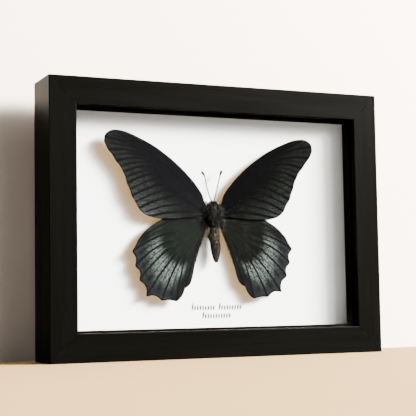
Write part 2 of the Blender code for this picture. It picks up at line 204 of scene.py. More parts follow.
# %% group: wood grain
wood_grain, wg_in, wg_out = new_group(
    "wood_grain",
    [("Stretch", VECTOR, (1.0, 1.0, 1.0)), ("Pore size", NUMBER, 1.0)],
    [("Tone", NUMBER), ("Pores", NUMBER)],
)
position = add(wood_grain, "TexCoord").outputs["Object"]
drawn = add(wood_grain, "VectorMath", {0: position, 1: wg_in.outputs["Stretch"]},
            operation="MULTIPLY").outputs[0]
slow = add(wood_grain, "TexNoise", {"Vector": drawn, "Scale": 160.0, "Detail": 4.0, "Distortion": 0.6})
fine_scale = math_node(wood_grain, "MULTIPLY", 1500.0, wg_in.outputs["Pore size"])
fine = add(wood_grain, "TexNoise", {"Vector": drawn, "Scale": fine_scale, "Detail": 2.0})
pores = ramp_between(wood_grain, fine.outputs["Fac"], 0.56, 0.72)
wood_grain.links.new(slow.outputs["Fac"], wg_out.inputs["Tone"])
wood_grain.links.new(pores, wg_out.inputs["Pores"])
print("wood grain outputs:", [s.name for s in wg_out.inputs if s.name])

# %% [markdown]
# ## Worn edges, shared by wood, steel and hardboard
# Corners lose their finish first. The Bevel node rounds the normal near an edge, so the angle between it
# and the true normal is a mask of the edges. A noise breaks the mask up, because wear is patchy.

# %% group: edge wear
edge_wear, ew_in, ew_out = new_group(
    "edge_wear",
    [("Width", NUMBER, 0.0005), ("Patch scale", NUMBER, 400.0), ("Amount", NUMBER, 1.0)],
    [("Mask", NUMBER)],
)
rounded_normal = add(edge_wear, "Bevel", {"Radius": ew_in.outputs["Width"]}, samples=4).outputs[0]
true_normal = add(edge_wear, "NewGeometry").outputs["Normal"]
likeness = add(edge_wear, "VectorMath", {0: rounded_normal, 1: true_normal}, operation="DOT_PRODUCT")
edge = ramp_between(edge_wear, likeness.outputs["Value"], 0.995, 0.90)
position = add(edge_wear, "TexCoord").outputs["Object"]
patches = add(edge_wear, "TexNoise", {"Vector": position, "Scale": ew_in.outputs["Patch scale"],
                                      "Detail": 3.0})
broken = ramp_between(edge_wear, patches.outputs["Fac"], 0.42, 0.62)
worn = math_node(edge_wear, "MULTIPLY", edge, broken)
edge_wear.links.new(math_node(edge_wear, "MULTIPLY", worn, ew_in.outputs["Amount"]), ew_out.inputs["Mask"])
print("edge wear ready")

# %% [markdown]
# ## Dust, shared by everything that has been on a shelf
# Dust lies on what faces up. The group reads how far the surface faces up, multiplies it by a cloudy noise
# and adds a few specks from the cells of a Voronoi texture.

# %% group: settled dust
settled_dust, sd_in, sd_out = new_group(
    "settled_dust",
    [("Amount", NUMBER, 0.3), ("Speck scale", NUMBER, 900.0)],
    [("Mask", NUMBER)],
)
facing = add(settled_dust, "SeparateXYZ", {0: add(settled_dust, "NewGeometry").outputs["Normal"]})
upward = ramp_between(settled_dust, facing.outputs["Z"], 0.2, 0.95, 0.06, 1.0)
position = add(settled_dust, "TexCoord").outputs["Object"]
cloud = add(settled_dust, "TexNoise", {"Vector": position, "Scale": 90.0, "Detail": 5.0, "Roughness": 0.65})
cloudy = ramp_between(settled_dust, cloud.outputs["Fac"], 0.35, 0.75)
cells = add(settled_dust, "TexVoronoi", {"Vector": position, "Scale": sd_in.outputs["Speck scale"]})
specks = ramp_between(settled_dust, cells.outputs["Distance"], 0.16, 0.05)
either = math_node(settled_dust, "MAXIMUM", math_node(settled_dust, "MULTIPLY", cloudy, upward),
                   math_node(settled_dust, "MULTIPLY", specks, 0.5))
settled_dust.links.new(math_node(settled_dust, "MULTIPLY", either, sd_in.outputs["Amount"]),
                       sd_out.inputs["Mask"])
print("dust ready")

# %% [markdown]
# ## Pressed fibres, shared by paper, foam board and hardboard
# Paper and hardboard are felts of fibres. Two noises with different stretch give short fibres that cross,
# and a third one gives the slow clouding of a pressed sheet.

# %% group: pressed fibres
pressed_fibres, pf_in, pf_out = new_group(
    "pressed_fibres",
    [("Fibre scale", NUMBER, 1500.0), ("Cloud scale", NUMBER, 60.0)],
    [("Fibres", NUMBER), ("Cloud", NUMBER)],
)
position = add(pressed_fibres, "TexCoord").outputs["Object"]
layers = []
for stretch in ((1.0, 1.0, 0.25), (0.25, 1.0, 1.0)):
    laid = add(pressed_fibres, "VectorMath", {0: position, 1: stretch}, operation="MULTIPLY").outputs[0]
    felt = add(pressed_fibres, "TexNoise", {"Vector": laid, "Scale": pf_in.outputs["Fibre scale"],
                                            "Detail": 3.0})
    layers.append(felt.outputs["Fac"])
crossed = math_node(pressed_fibres, "MULTIPLY", math_node(pressed_fibres, "ADD", *layers), 0.5)
slow = add(pressed_fibres, "TexNoise", {"Vector": position, "Scale": pf_in.outputs["Cloud scale"],
                                        "Detail": 3.0})
pressed_fibres.links.new(crossed, pf_out.inputs["Fibres"])
pressed_fibres.links.new(slow.outputs["Fac"], pf_out.inputs["Cloud"])
print("fibres ready")

# %% [markdown]
# ## Black stained wood
# The rails are soft wood under a thin satin black: nearly no colour, a calm wide gloss, faint pores along
# each rail, greyer corners and a breath of dust on top. Level and upright rails need the grain in different
# directions, so one function builds both from the shared groups.

# %% material: stained wood
PORE_BLACK = (0.0004, 0.0004, 0.0004)
WOOD_BLACK = (0.0007, 0.0007, 0.0005)
WOOD_DARK = (0.0013, 0.0012, 0.0009)
WORN_GREY = (0.006, 0.0058, 0.0050)
DUST_GREY = (0.11, 0.105, 0.095)


def stained_wood(name, stretch):
    made, tree = fresh_material(name)
    grain = use_group(tree, wood_grain, stretch=stretch, pore_size=1.0)
    worn = use_group(tree, edge_wear, width=0.0006, patch_scale=260.0, amount=0.55)["Mask"]
    dust = use_group(tree, settled_dust, amount=0.003, speck_scale=700.0)["Mask"]
    colour = blend_colours(tree, grain["Tone"], WOOD_BLACK, WOOD_DARK)
    colour = blend_colours(tree, math_node(tree, "MULTIPLY", grain["Pores"], 0.5), colour, PORE_BLACK)
    colour = blend_colours(tree, worn, colour, WORN_GREY)
    colour = blend_colours(tree, dust, colour, DUST_GREY)
    gloss = ramp_between(tree, grain["Tone"], 0.3, 0.7, 0.28, 0.36)
    rough = math_node(tree, "ADD", gloss, math_node(tree, "MULTIPLY", dust, 1.5))
    height = math_node(tree, "SUBTRACT", math_node(tree, "MULTIPLY", grain["Tone"], 0.25), grain["Pores"])
    bump = add(tree, "Bump", {"Height": height, "Strength": 0.25, "Distance": 0.00006})
    shader = add(tree, "BsdfPrincipled", {
        "Base Color": colour, "Roughness": rough, "Normal": bump.outputs[0], "IOR": 1.45,
        "Specular IOR Level": 0.008,
    })
    finish_material(tree, shader.outputs[0])
    return made


ALONG_X, ALONG_Z = (0.06, 1.0, 1.0), (1.0, 1.0, 0.06)
level_wood = stained_wood("stained_wood_level", ALONG_X)
upright_wood = stained_wood("stained_wood_upright", ALONG_Z)


def dress(node_name, surface):
    """Gives a CAD part its material and lets its round edges shade smoothly."""
    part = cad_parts[node_name]
    part.data.materials.clear()
    part.data.materials.append(surface)
    part.data.shade_smooth()
    part.data.set_sharp_from_angle(angle=math.radians(35))


for rail, wood in (("top_rail", level_wood), ("bottom_rail", level_wood),
                   ("left_rail", upright_wood), ("right_rail", upright_wood)):
    dress(rail, wood)
print("rails dressed")

# %% [markdown]
# ## Glass
# A pane is one plain shader: full transmission and the index of glass. Its reflection is weakened with the
# specular level, as a coated picture glass does. Light that reaches the board through a modelled pane
# would have to be found by chance, so shadow rays and diffuse rays pass through a Transparent shader.

# %% material: picture glass
CLEAR_GLASS = (0.97, 0.975, 0.97)
glass, tree = fresh_material("picture_glass")
pane = add(tree, "BsdfPrincipled", {
    "Base Color": (1.0, 1.0, 1.0), "Roughness": 0.0, "IOR": 1.45, "Transmission Weight": 1.0,
    "Specular IOR Level": 0.12,
})
clear = add(tree, "BsdfTransparent", {"Color": CLEAR_GLASS})
path = add(tree, "LightPath")
for_bounces = add(tree, "MixShader", {0: path.outputs["Is Diffuse Ray"], 1: pane.outputs[0],
                                      2: clear.outputs[0]})
for_lamps = add(tree, "MixShader", {0: path.outputs["Is Shadow Ray"], 1: for_bounces.outputs[0],
                                    2: clear.outputs[0]})
finish_material(tree, for_lamps.outputs[0])
dress("glass_pane", glass)
print("glass dressed")

# %% [markdown]
# ## Liner strips
# Thin wood strips painted flat black line the inside. In places they look brownish, where the paint
# is thin, so a slow noise lets some brown through.

# %% material: liner
PAINT_BLACK = (0.0008, 0.0006, 0.0004)
PAINT_BROWN = (0.0030, 0.0020, 0.0009)
BROWN_DUST = (0.02, 0.017, 0.012)
liner_paint, tree = fresh_material("liner_paint")
felt = use_group(tree, pressed_fibres, fibre_scale=900.0, cloud_scale=110.0)
dust = use_group(tree, settled_dust, amount=0.03, speck_scale=800.0)["Mask"]
colour = blend_colours(tree, ramp_between(tree, felt["Cloud"], 0.35, 0.7),
                       PAINT_BLACK, PAINT_BROWN)
colour = blend_colours(tree, dust, colour, BROWN_DUST)
bump = add(tree, "Bump", {"Height": felt["Fibres"], "Strength": 0.3, "Distance": 0.0001})
shader = add(tree, "BsdfPrincipled", {"Base Color": colour,
                                      "Roughness": ramp_between(tree, felt["Cloud"], 0.3, 0.7, 0.6, 0.8),
                                      "Normal": bump.outputs[0], "Specular IOR Level": 0.0})
finish_material(tree, shader.outputs[0])
for strip in ("top_liner", "bottom_liner", "left_liner", "right_liner"):
    dress(strip, liner_paint)
print("liners dressed")

# %% [markdown]
# ## White mount board
# The specimen is fixed on white paper glued to foam board. Up close the paper has crossing fibres and a
# faint tooth, and it is a little warmer in some places than in others.

# %% material: mount paper and foam
FLECK_GREY = (0.72, 0.71, 0.68)
# Grey for the painted shade in the seams between the foam's beads.
FOAM_SEAM_SHADE = (0.62, 0.60, 0.56)
FOAM_WHITE = (0.80, 0.80, 0.78)
PAPER_WHITE = (0.86, 0.86, 0.855)
PAPER_WARM = (0.83, 0.825, 0.80)
mount_paper, tree = fresh_material("mount_paper")
felt = use_group(tree, pressed_fibres, fibre_scale=1800.0, cloud_scale=35.0)
tone = ramp_between(tree, felt["Cloud"], 0.35, 0.75)
flecks = ramp_between(tree, felt["Fibres"], 0.60, 0.75, 0.0, 0.25)
colour = blend_colours(tree, tone, PAPER_WHITE, PAPER_WARM)
colour = blend_colours(tree, flecks, colour, FLECK_GREY)
bump = add(tree, "Bump", {"Height": felt["Fibres"], "Strength": 0.25, "Distance": 0.00008})
shader = add(tree, "BsdfPrincipled", {"Base Color": colour, "Roughness": ramp_between(tree, felt["Fibres"],
                                                                                      0.3, 0.7, 0.75, 0.9),
                                      "Normal": bump.outputs[0], "Specular IOR Level": 0.2})
finish_material(tree, shader.outputs[0])
dress("mount_board", mount_paper)

riser_foam, tree = fresh_material("riser_foam")
position = add(tree, "TexCoord").outputs["Object"]
beads = add(tree, "TexVoronoi", {"Vector": position, "Scale": 1400.0}, feature="DISTANCE_TO_EDGE")
# Painted shade: the seams between the foam's beads are coloured grey, standing in for the shade in those small
# crevices.
bead_middles = ramp_between(tree, beads.outputs["Distance"], 0.0, 0.12)
colour = blend_colours(tree, bead_middles, FOAM_SEAM_SHADE, FOAM_WHITE)
bump = add(tree, "Bump", {"Height": bead_middles, "Strength": 0.4, "Distance": 0.0001})
shader = add(tree, "BsdfPrincipled", {"Base Color": colour, "Roughness": ramp_between(tree, bead_middles, 0.0, 1.0,
                                                                                      0.95, 0.8),
                                      "Normal": bump.outputs[0]})
finish_material(tree, shader.outputs[0])
dress("riser_block", riser_foam)
print("board and riser dressed")

# %% [markdown]
# ## Hardboard, steel and rubber on the back
# The panel is brown pressed hardboard, whose rough side carries the print of the wire screen it was pressed
# on: two crossed waves make that print. The points, the hanger and its nails are zinc-plated steel with
# drawn scratches, and the bumpers are dull black rubber.

# %% material: hardboard
PANEL_DARK = (0.105, 0.055, 0.028)
PANEL_BROWN = (0.155, 0.086, 0.046)
FIBRE_TAN = (0.24, 0.15, 0.085)
SCREEN_PRINT = (0.06, 0.032, 0.017)
WORN_TAN = (0.30, 0.21, 0.13)
hardboard, tree = fresh_material("hardboard")
felt = use_group(tree, pressed_fibres, fibre_scale=700.0, cloud_scale=45.0)
worn = use_group(tree, edge_wear, width=0.0008, patch_scale=220.0, amount=0.5)["Mask"]
position = add(tree, "TexCoord").outputs["Object"]
waves = [add(tree, "TexWave", {"Vector": position, "Scale": 190.0, "Distortion": 0.6, "Detail Scale": 3.0},
             bands_direction=axis).outputs["Fac"] for axis in ("X", "Z")]
screen = math_node(tree, "MULTIPLY", *waves)
colour = blend_colours(tree, ramp_between(tree, felt["Cloud"], 0.3, 0.7), PANEL_DARK, PANEL_BROWN)
colour = blend_colours(tree, ramp_between(tree, felt["Fibres"], 0.52, 0.68, 0.0, 0.7), colour, FIBRE_TAN)
colour = blend_colours(tree, math_node(tree, "MULTIPLY", screen, 0.35), colour, SCREEN_PRINT)
colour = blend_colours(tree, worn, colour, WORN_TAN)
height = math_node(tree, "ADD", felt["Fibres"], math_node(tree, "MULTIPLY", screen, -0.6))
bump = add(tree, "Bump", {"Height": height, "Strength": 0.5, "Distance": 0.00015})
shader = add(tree, "BsdfPrincipled", {"Base Color": colour, "Roughness": ramp_between(tree, felt["Fibres"],
                                                                                      0.3, 0.7, 0.7, 0.9),
                                      "Normal": bump.outputs[0], "Specular IOR Level": 0.3})
finish_material(tree, shader.outputs[0])
dress("back_panel", hardboard)
print("back panel dressed")

# %% material: plated steel
ZINC_GREY = (0.33, 0.33, 0.34)
ZINC_DULL = (0.23, 0.23, 0.235)
RUBBED_ZINC = (0.50, 0.49, 0.47)
plated_steel, tree = fresh_material("plated_steel")
position = add(tree, "TexCoord").outputs["Object"]
drawn = add(tree, "VectorMath", {0: position, 1: (0.04, 1.0, 1.0)}, operation="MULTIPLY").outputs[0]
scratches = add(tree, "TexNoise", {"Vector": drawn, "Scale": 9000.0, "Detail": 2.0}).outputs["Fac"]
blotches = add(tree, "TexNoise", {"Vector": position, "Scale": 500.0, "Detail": 4.0}).outputs["Fac"]
worn = use_group(tree, edge_wear, width=0.0003, patch_scale=900.0, amount=0.8)["Mask"]
dust = use_group(tree, settled_dust, amount=0.15, speck_scale=1200.0)["Mask"]
colour = blend_colours(tree, ramp_between(tree, blotches, 0.35, 0.7), ZINC_GREY, ZINC_DULL)
colour = blend_colours(tree, worn, colour, RUBBED_ZINC)
colour = blend_colours(tree, dust, colour, DUST_GREY)
rough = math_node(tree, "ADD", ramp_between(tree, scratches, 0.3, 0.7, 0.28, 0.42),
                  ramp_between(tree, blotches, 0.4, 0.7, 0.0, 0.12))
bump = add(tree, "Bump", {"Height": scratches, "Strength": 0.2, "Distance": 0.00003})
shader = add(tree, "BsdfPrincipled", {"Base Color": colour, "Metallic": 1.0, "Roughness": rough,
                                      "Normal": bump.outputs[0]})
finish_material(tree, shader.outputs[0])
for number in range(1, 7):
    dress("panel_point_%d" % number, plated_steel)
for fitting in ("sawtooth_hanger", "hanger_nail_left", "hanger_nail_right"):
    dress(fitting, plated_steel)
print("steel dressed")

# %% material: rubber
RUBBER_BLACK = (0.004, 0.004, 0.004)
RUBBER_GREY = (0.011, 0.0105, 0.010)
PALE_DUST = (0.20, 0.19, 0.17)
bumper_rubber, tree = fresh_material("bumper_rubber")
position = add(tree, "TexCoord").outputs["Object"]
skin = add(tree, "TexNoise", {"Vector": position, "Scale": 2200.0, "Detail": 3.0}).outputs["Fac"]
dust = use_group(tree, settled_dust, amount=0.12, speck_scale=1500.0)["Mask"]
colour = blend_colours(tree, skin, RUBBER_BLACK, RUBBER_GREY)
colour = blend_colours(tree, dust, colour, PALE_DUST)
bump = add(tree, "Bump", {"Height": skin, "Strength": 0.35, "Distance": 0.00008})
shader = add(tree, "BsdfPrincipled", {"Base Color": colour, "Roughness": ramp_between(tree, skin, 0.3, 0.7,
                                                                                      0.62, 0.82),
                                      "Normal": bump.outputs[0], "Specular IOR Level": 0.15})
finish_material(tree, shader.outputs[0])
for bumper in ("wall_bumper_left", "wall_bumper_right"):
    dress(bumper, bumper_rubber)
print("bumpers dressed")

# %% [markdown]
# ## The plan of the wings
# A wing is a membrane on a fan of veins. Each right-hand wing is drawn by its front edge, by the tips where
# veins meet the toothed outer margin, by how deep the margin dips between them, and by its inner edge. The
# veins start on the outline of the cell, the closed field near the root, and run to those tips. The left
# wings are the same plan mirrored, with the small differences in size and turn that any specimen has.

# %% wing plans
FOREWING = {
    "root": (4.7, 6.5),
    "front": [(1.4, 7.0), (4.7, 9.4), (7.2, 16), (14.5, 24.9), (23.5, 33.1), (34, 40.5), (44, 45.6),
              (53, 49),
              (60, 49.6), (64.5, 47), (65.4, 43)],
    "tips": [(65.4, 43), (63.3, 38.4), (58.6, 32.2), (54.4, 26.3), (52.3, 20), (49.7, 13.2), (45.6, 6.4),
             (39.5, 2.1)],
    "dips": [0.0, 0.4, 0.5, 0.5, 0.5, 0.4, -0.5],
    "inner": [(39.5, 2.1), (32, 0.9), (20, 1.2), (9, 2.2), (4.7, 3.5), (1.4, 4.4)],
    "cell": [(5.4, 8.0), (12.5, 16.8), (22.5, 26.4), (31.5, 33.2), (35.6, 34.6), (35.2, 30.5), (33.2, 26.4),
             (27.5, 20.2), (19.5, 14.2), (11.5, 9.2), (5.6, 6.2)],
    "veins": [
        [(5.2, 8.9), (13.5, 21.0), (25.5, 32.4), (37.5, 41.0), (43.0, 44.6)],
        [(22.5, 26.4), (34.0, 36.6), (44.0, 43.2), (51.5, 47.9)],
        [(28.0, 30.8), (40.0, 39.4), (50.5, 45.0), (58.3, 49.0)],
        [(33.5, 34.0), (44.0, 39.8), (54.5, 43.6), (64.6, 45.8)],
        [(35.4, 34.4), (45.0, 37.6), (54.5, 39.0), (63.3, 38.4)],
        [(35.5, 32.6), (43.5, 34.4), (51.0, 34.2), (58.6, 32.2)],
        [(35.0, 30.0), (41.5, 30.0), (48.0, 28.8), (54.4, 26.3)],
        [(33.4, 26.6), (39.5, 25.4), (46.0, 23.2), (52.3, 20.0)],
        [(28.6, 21.2), (36.0, 19.2), (43.0, 16.5), (49.7, 13.2)],
        [(20.5, 14.9), (29.0, 13.0), (37.5, 10.2), (45.6, 6.4)],
        [(5.2, 4.8), (15.0, 5.2), (27.0, 4.6), (39.5, 2.1)],
    ],
}
HINDWING = {
    "root": (4.0, 0.0),
    "front": [(1.6, 1.6), (4.0, 3.0), (14, 5.5), (25, 4.2), (33, 0.5), (40.9, -4.6), (45.8, -9.8)],
    "tips": [(45.8, -9.8), (50, -16.6), (48.4, -24.6), (46.1, -32.4), (42.2, -41.8), (32.9, -44.3),
             (24, -45),
             (18.6, -37.6)],
    "dips": [0.3, 1.9, 2.1, 2.4, 2.1, 0.9, -0.9],
    "inner": [(18.6, -37.6), (16, -36), (14, -32.4), (11.4, -22.5), (6.6, -9.5), (4.0, -3.0), (1.8, -1.0)],
    "cell": [(4.8, 0.8), (12.5, -0.8), (19.5, -4.6), (23.6, -9.6), (24.4, -13.4), (22.6, -17.6),
             (19.4, -20.0),
             (15.5, -16.0), (10.2, -9.0), (5.0, -1.6)],
    "veins": [
        [(4.8, 1.8), (16.0, 3.2), (29.0, -0.8), (38.5, -5.6), (45.8, -9.8)],
        [(20.5, -5.4), (30.0, -7.2), (40.0, -11.0), (50.0, -16.6)],
        [(23.8, -10.2), (32.0, -12.8), (40.5, -18.0), (48.4, -24.6)],
        [(24.4, -13.4), (31.5, -18.2), (39.0, -24.8), (46.1, -32.4)],
        [(22.7, -17.3), (29.5, -24.6), (36.0, -32.8), (42.2, -41.8)],
        [(20.6, -19.2), (25.2, -27.4), (29.4, -35.8), (32.9, -44.3)],
        [(17.2, -18.0), (19.8, -26.4), (22.2, -35.4), (24.0, -45.0)],
        [(4.8, -2.4), (10.4, -14.2), (14.6, -26.0), (18.6, -37.6)],
    ],
}
print("veins:", len(FOREWING["veins"]), "in a forewing,", len(HINDWING["veins"]), "in a hindwing")

# %% [markdown]
# ## Lines of a wing
# Curves through a few points are drawn as Catmull-Rom lines. The margin between two tips dips as half a
# sine wave, and is then evened out a little so that the tips are round. Halfway between two veins a
# shallow fold runs outward, where the dry membrane buckles.

# %% wing lines
ROUNDING_PASSES = 18


def smooth_line(points, steps):
    """A smooth line through the points, with the given number of steps between two of them."""
    points = np.asarray(points, float)
    ends = np.vstack([2 * points[0] - points[1], points, 2 * points[-1] - points[-2]])
    t = np.linspace(0, 1, steps, endpoint=False)[:, None]
    spans = [0.5 * (2 * b + (c - a) * t + (2 * a - 5 * b + 4 * c - d) * t ** 2 + (3 * b - a - 3 * c + d) * t ** 3)
             for a, b, c, d in zip(ends, ends[1:], ends[2:], ends[3:])]
    return np.vstack(spans + [points[-1:]])


def evenly(line, step):
    """The same line with its points a step apart."""
    travel = np.concatenate([[0], np.cumsum(np.linalg.norm(np.diff(line, axis=0), axis=1))])
    marks = np.linspace(0, travel[-1], max(2, round(travel[-1] / step) + 1))
    return np.column_stack([np.interp(marks, travel, line[:, i]) for i in range(line.shape[1])])


def toothed_margin(plan, steps=14):
    """The outer margin with a dip between each two tips. Averaging neighbours rounds the tips."""
    line = []
    for start, end, dip in zip(plan["tips"], plan["tips"][1:], plan["dips"]):
        start, end = np.array(start, float), np.array(end, float)
        inward = np.array([end[1] - start[1], start[0] - end[0]]) / np.linalg.norm(end - start)
        t = np.linspace(0, 1, steps, endpoint=False)[:, None]
        line.append(start + (end - start) * t + inward * dip * np.sin(np.pi * t))
    line = evenly(np.vstack(line + [np.array([plan["tips"][-1]], float)]), 0.3)
    for _ in range(ROUNDING_PASSES):
        line[1:-1] = line[1:-1] / 2 + (line[:-2] + line[2:]) / 4
    return line


def drawn_lines(plan, step=0.6):
    """The plan as even lines: the whole outline, the margin on its own, the veins, and the folds between."""
    front, inner = smooth_line(plan["front"], 12), smooth_line(plan["inner"], 12)
    margin = toothed_margin(plan)
    outline = evenly(np.vstack([front[:-1], margin[:-1], inner, front[:1]]), step)[:-1]
    veins = [evenly(smooth_line(vein, 10), step) for vein in plan["veins"]]
    cell = evenly(smooth_line(plan["cell"], 8), step)
    folds = []
    for a, b in zip(veins, veins[1:]):
        share = np.linspace(0, 1, 40)
        pair = [np.column_stack([np.interp(share, np.linspace(0, 1, len(v)), v[:, i]) for i in (0, 1)])
                for v in (a, b)]
        folds.append(evenly((pair[0] + pair[1])[4:38] / 2, step))
    return {"outline": outline, "margin": evenly(margin, step), "veins": veins, "cell": cell,
            "folds": folds}


for wing_name, plan in (("forewing", FOREWING), ("hindwing", HINDWING)):
    lines = drawn_lines(plan)
    print(wing_name, "outline points:", len(lines["outline"]), "folds:", len(lines["folds"]))

# %% [markdown]
# ## A mesh that knows its veins
# Triangles laid without regard to the veins would smear them. A constrained Delaunay triangulation takes
# the outline, the veins and the folds as edges that must exist, and fills the rest with a honeycomb of
# points. Every point then stores how far it lies from the nearest vein, fold and margin, and the colours
# are painted from those distances, so that they fit the shape exactly and need no image.

# %% triangulating a wing


def distance_to(points, line):
    """Each point's distance from the nearest spot on an open line."""
    a, along = line[:-1], np.diff(line, axis=0)
    away = points[:, None] - a
    share = np.clip((away * along).sum(2) / np.maximum((along ** 2).sum(1), 1e-12), 0, 1)
    return np.linalg.norm(away - share[..., None] * along, axis=2).min(1)


def inside(points, outline):
    """True where a point lies within a closed outline, by counting the edges to its right."""
    a, b = outline, np.roll(outline, -1, axis=0)
    x, y = points[:, :1], points[:, 1:]
    crosses = (a[:, 1] > y) != (b[:, 1] > y)
    rise = np.where(b[:, 1] == a[:, 1], 1e-12, b[:, 1] - a[:, 1])
    return ((x < (b[:, 0] - a[:, 0]) * (y - a[:, 1]) / rise + a[:, 0]) & crosses).sum(1) % 2 == 1


def honeycomb(outline, spacing):
    low, high = outline.min(0), outline.max(0)
    rows = np.arange(low[1], high[1], spacing * 0.866)
    points = [(x + (i % 2) * spacing / 2, y) for i, y in enumerate(rows)
              for x in np.arange(low[0], high[0], spacing)]
    return np.array(points)


def triangulated(lines, spacing=0.8, ridge=0.38):
    """Points and triangles of the flat wing, with edges along the outline, the veins and the folds."""
    outline = lines["outline"]
    closed = np.vstack([outline, outline[:1]])
    strands = [*lines["veins"], lines["cell"], *lines["folds"]]
    shoulders = []
    for vein in [*lines["veins"], lines["cell"]]:
        along = np.gradient(vein, axis=0)
        across = np.column_stack([-along[:, 1], along[:, 0]]) / np.linalg.norm(along, axis=1)[:, None]
        shoulders += [vein + across * ridge, vein - across * ridge]
    shoulders = np.vstack(shoulders)
    near_vein = np.min([distance_to(shoulders, v) for v in strands], axis=0)
    keep = inside(shoulders, outline) & (near_vein > ridge * 0.8) & (distance_to(shoulders, closed) > 0.3)
    shoulders = shoulders[keep]
    fill = honeycomb(outline, spacing)
    fill = fill[inside(fill, outline)]
    room = np.min([distance_to(fill, v) for v in strands], axis=0)
    fill = fill[(room > ridge * 1.7) & (distance_to(fill, closed) > spacing * 0.45)]
    points, edges = list(map(tuple, outline)), [(i, (i + 1) % len(outline)) for i in range(len(outline))]
    for strand in strands:
        kept = strand[inside(strand, outline) & (distance_to(strand, closed) > 0.2)]
        edges += [(len(points) + i, len(points) + i + 1) for i in range(len(kept) - 1)]
        points += list(map(tuple, kept))
    points += list(map(tuple, shoulders)) + list(map(tuple, fill))
    laid = geometry.delaunay_2d_cdt([Vector(p) for p in points], edges, [], 0, 0.02, False)
    spots, faces = np.array([tuple(p) for p in laid[0]]), np.array([tuple(f) for f in laid[2]])
    within = inside(spots[faces].mean(axis=1), outline)
    return spots, [tuple(int(i) for i in face) for face in faces[within]]


sample_points, sample_faces = triangulated(drawn_lines(HINDWING))
print("hindwing:", len(sample_points), "points,", len(sample_faces), "triangles")

# %% [markdown]
# ## Building the four wings
# The flat mesh is lifted off the board: the wing rises slightly towards its tip, swells between the veins,
# dips along the folds and waves along its free margin. A second, mirrored layer closes the sheet from below
# with a rim between them, so that each wing is a thin solid with an upper and an under side.

# %% wing builder
ROOT_LIFT = {"forewing": 4.0, "hindwing": 3.3}
RISE = math.tan(math.radians(1.2))
SHEET = 0.13
FORE_SIZE = {"left": 1.0, "right": 0.985}
HIND_TURN = {"left": -1.0, "right": 1.0}


def set_in_place(points, kind, side_name):
    """The plan's points turned, scaled and mirrored for one side of the specimen."""
    size = FORE_SIZE[side_name] if kind == "forewing" else 1.0
    angle = math.radians(HIND_TURN[side_name]) if kind == "hindwing" else 0.0
    spin = np.array([[math.cos(angle), math.sin(angle)], [-math.sin(angle), math.cos(angle)]])
    moved = points @ spin * size
    return moved * (-1 if side_name == "left" else 1, 1)


def wing_lift(points, near, kind):
    """How high each point stands above the board, in millimetres."""
    out = np.abs(points[:, 0])
    ridges = 0.10 * np.exp(-(near["vein"] / 0.30) ** 2)
    folds = -0.07 * np.exp(-(near["fold"] / 0.5) ** 2)
    loose = np.clip(1 - near["margin"] / 9, 0, 1) ** 2
    wave = [noise.noise(Vector((x * 0.13, z * 0.13, 3.0 if kind == "forewing" else 8.0))) for x,
            z in points]
    ripple = [noise.noise(Vector((x * 0.5, z * 0.5, 5.0))) for x, z in points]
    wave, ripple = np.array(wave), np.array(ripple)
    camber = 0.35 * np.sin(np.clip(out / 50, 0, 1) * np.pi)
    swell = camber + 0.16 * wave + 0.05 * ripple + loose * (0.30 * wave + 0.10)
    return ROOT_LIFT[kind] + out * RISE + swell * np.clip(out / 12, 0, 1) + ridges + folds


def measured(points, lines, plan):
    """The distances that colours and shape are made from."""
    near = {
        "vein": np.min([distance_to(points, v) for v in [*lines["veins"], lines["cell"]]], axis=0),
        "fold": np.min([distance_to(points, v) for v in lines["folds"]], axis=0),
        "margin": distance_to(points, lines["margin"]),
        "edge": distance_to(points, np.vstack([lines["outline"], lines["outline"][:1]])),
    }
    in_cell = inside(points, lines["cell"])
    from_cell = np.where(in_cell, -1.0, 1.0) * distance_to(points, lines["cell"])
    near["reach"] = np.clip(from_cell, 0, None) / (np.clip(from_cell, 0, None) + near["margin"] + 1e-6)
    away = points - np.array(plan["root"])
    near["sweep"] = np.degrees(np.arctan2(away[:, 1], away[:, 0]))
    near["out"] = np.linalg.norm(away, axis=1)
    return near


def store(mesh, name, values):
    attribute = mesh.attributes.new(name, "FLOAT", "POINT")
    attribute.data.foreach_set("value", np.asarray(values, np.float32))


def grow_wing(kind, side_name, plan, surfaces):
    lines = drawn_lines(plan)
    flat, faces = triangulated(lines)
    near = measured(flat, lines, plan)
    lift = wing_lift(flat, near, kind)
    there = set_in_place(flat, kind, side_name)
    upper = placed(np.column_stack([there, lift]))
    under = placed(np.column_stack([there, lift - SHEET]))
    count = len(flat)
    flip = side_name == "left"
    top_faces = [f[::-1] if flip else f for f in faces]
    rim_edges = {}
    for face in top_faces:
        for a, b in zip(face, face[1:] + face[:1]):
            if (b, a) in rim_edges:
                del rim_edges[(b, a)]
            else:
                rim_edges[(a, b)] = True
    low_faces = [tuple(i + count for i in f[::-1]) for f in top_faces]
    rim = [(b, a, a + count, b + count) for a, b in rim_edges]
    mesh = bpy.data.meshes.new(side_name + "_" + kind + "_scaled")
    mesh.from_pydata(np.vstack([upper, under]).tolist(), [], top_faces + low_faces + rim)
    for surface in surfaces:
        mesh.materials.append(surface)
    mesh.polygons.foreach_set("material_index", [0] * len(top_faces) + [1] * len(low_faces) + [0] * len(rim))
    for name, values in near.items():
        store(mesh, name + "_mm" if name in ("vein", "fold", "margin", "edge", "out") else name,
              np.tile(values, 2))
    # Painted sheen: the left wings are coloured lighter than the right ones, standing in for the gloss of the light
    # that falls on them.
    store(mesh, "painted_sheen_side", np.full(2 * count, 1.0 if side_name == "left" else 0.0))
    mesh.shade_smooth()
    mesh.update()
    wing = bpy.data.objects.new(mesh.name, mesh)
    bpy.context.scene.collection.objects.link(wing)
    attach(wing, "root")
    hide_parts(side_name + "_" + kind)
    return wing


print("a sheet is", SHEET, "mm thick")

# %% [markdown]
# ## Scales, shared by both wings and the under side
# A wing is shingled with scales about a tenth of a millimetre long. They catch light in grains, so the
# group gives a grainy tone from small cells, streaks that follow the wing outward, and a height
# for the bump. The streaks use the angle and the distance from the root, which each wing has stored.

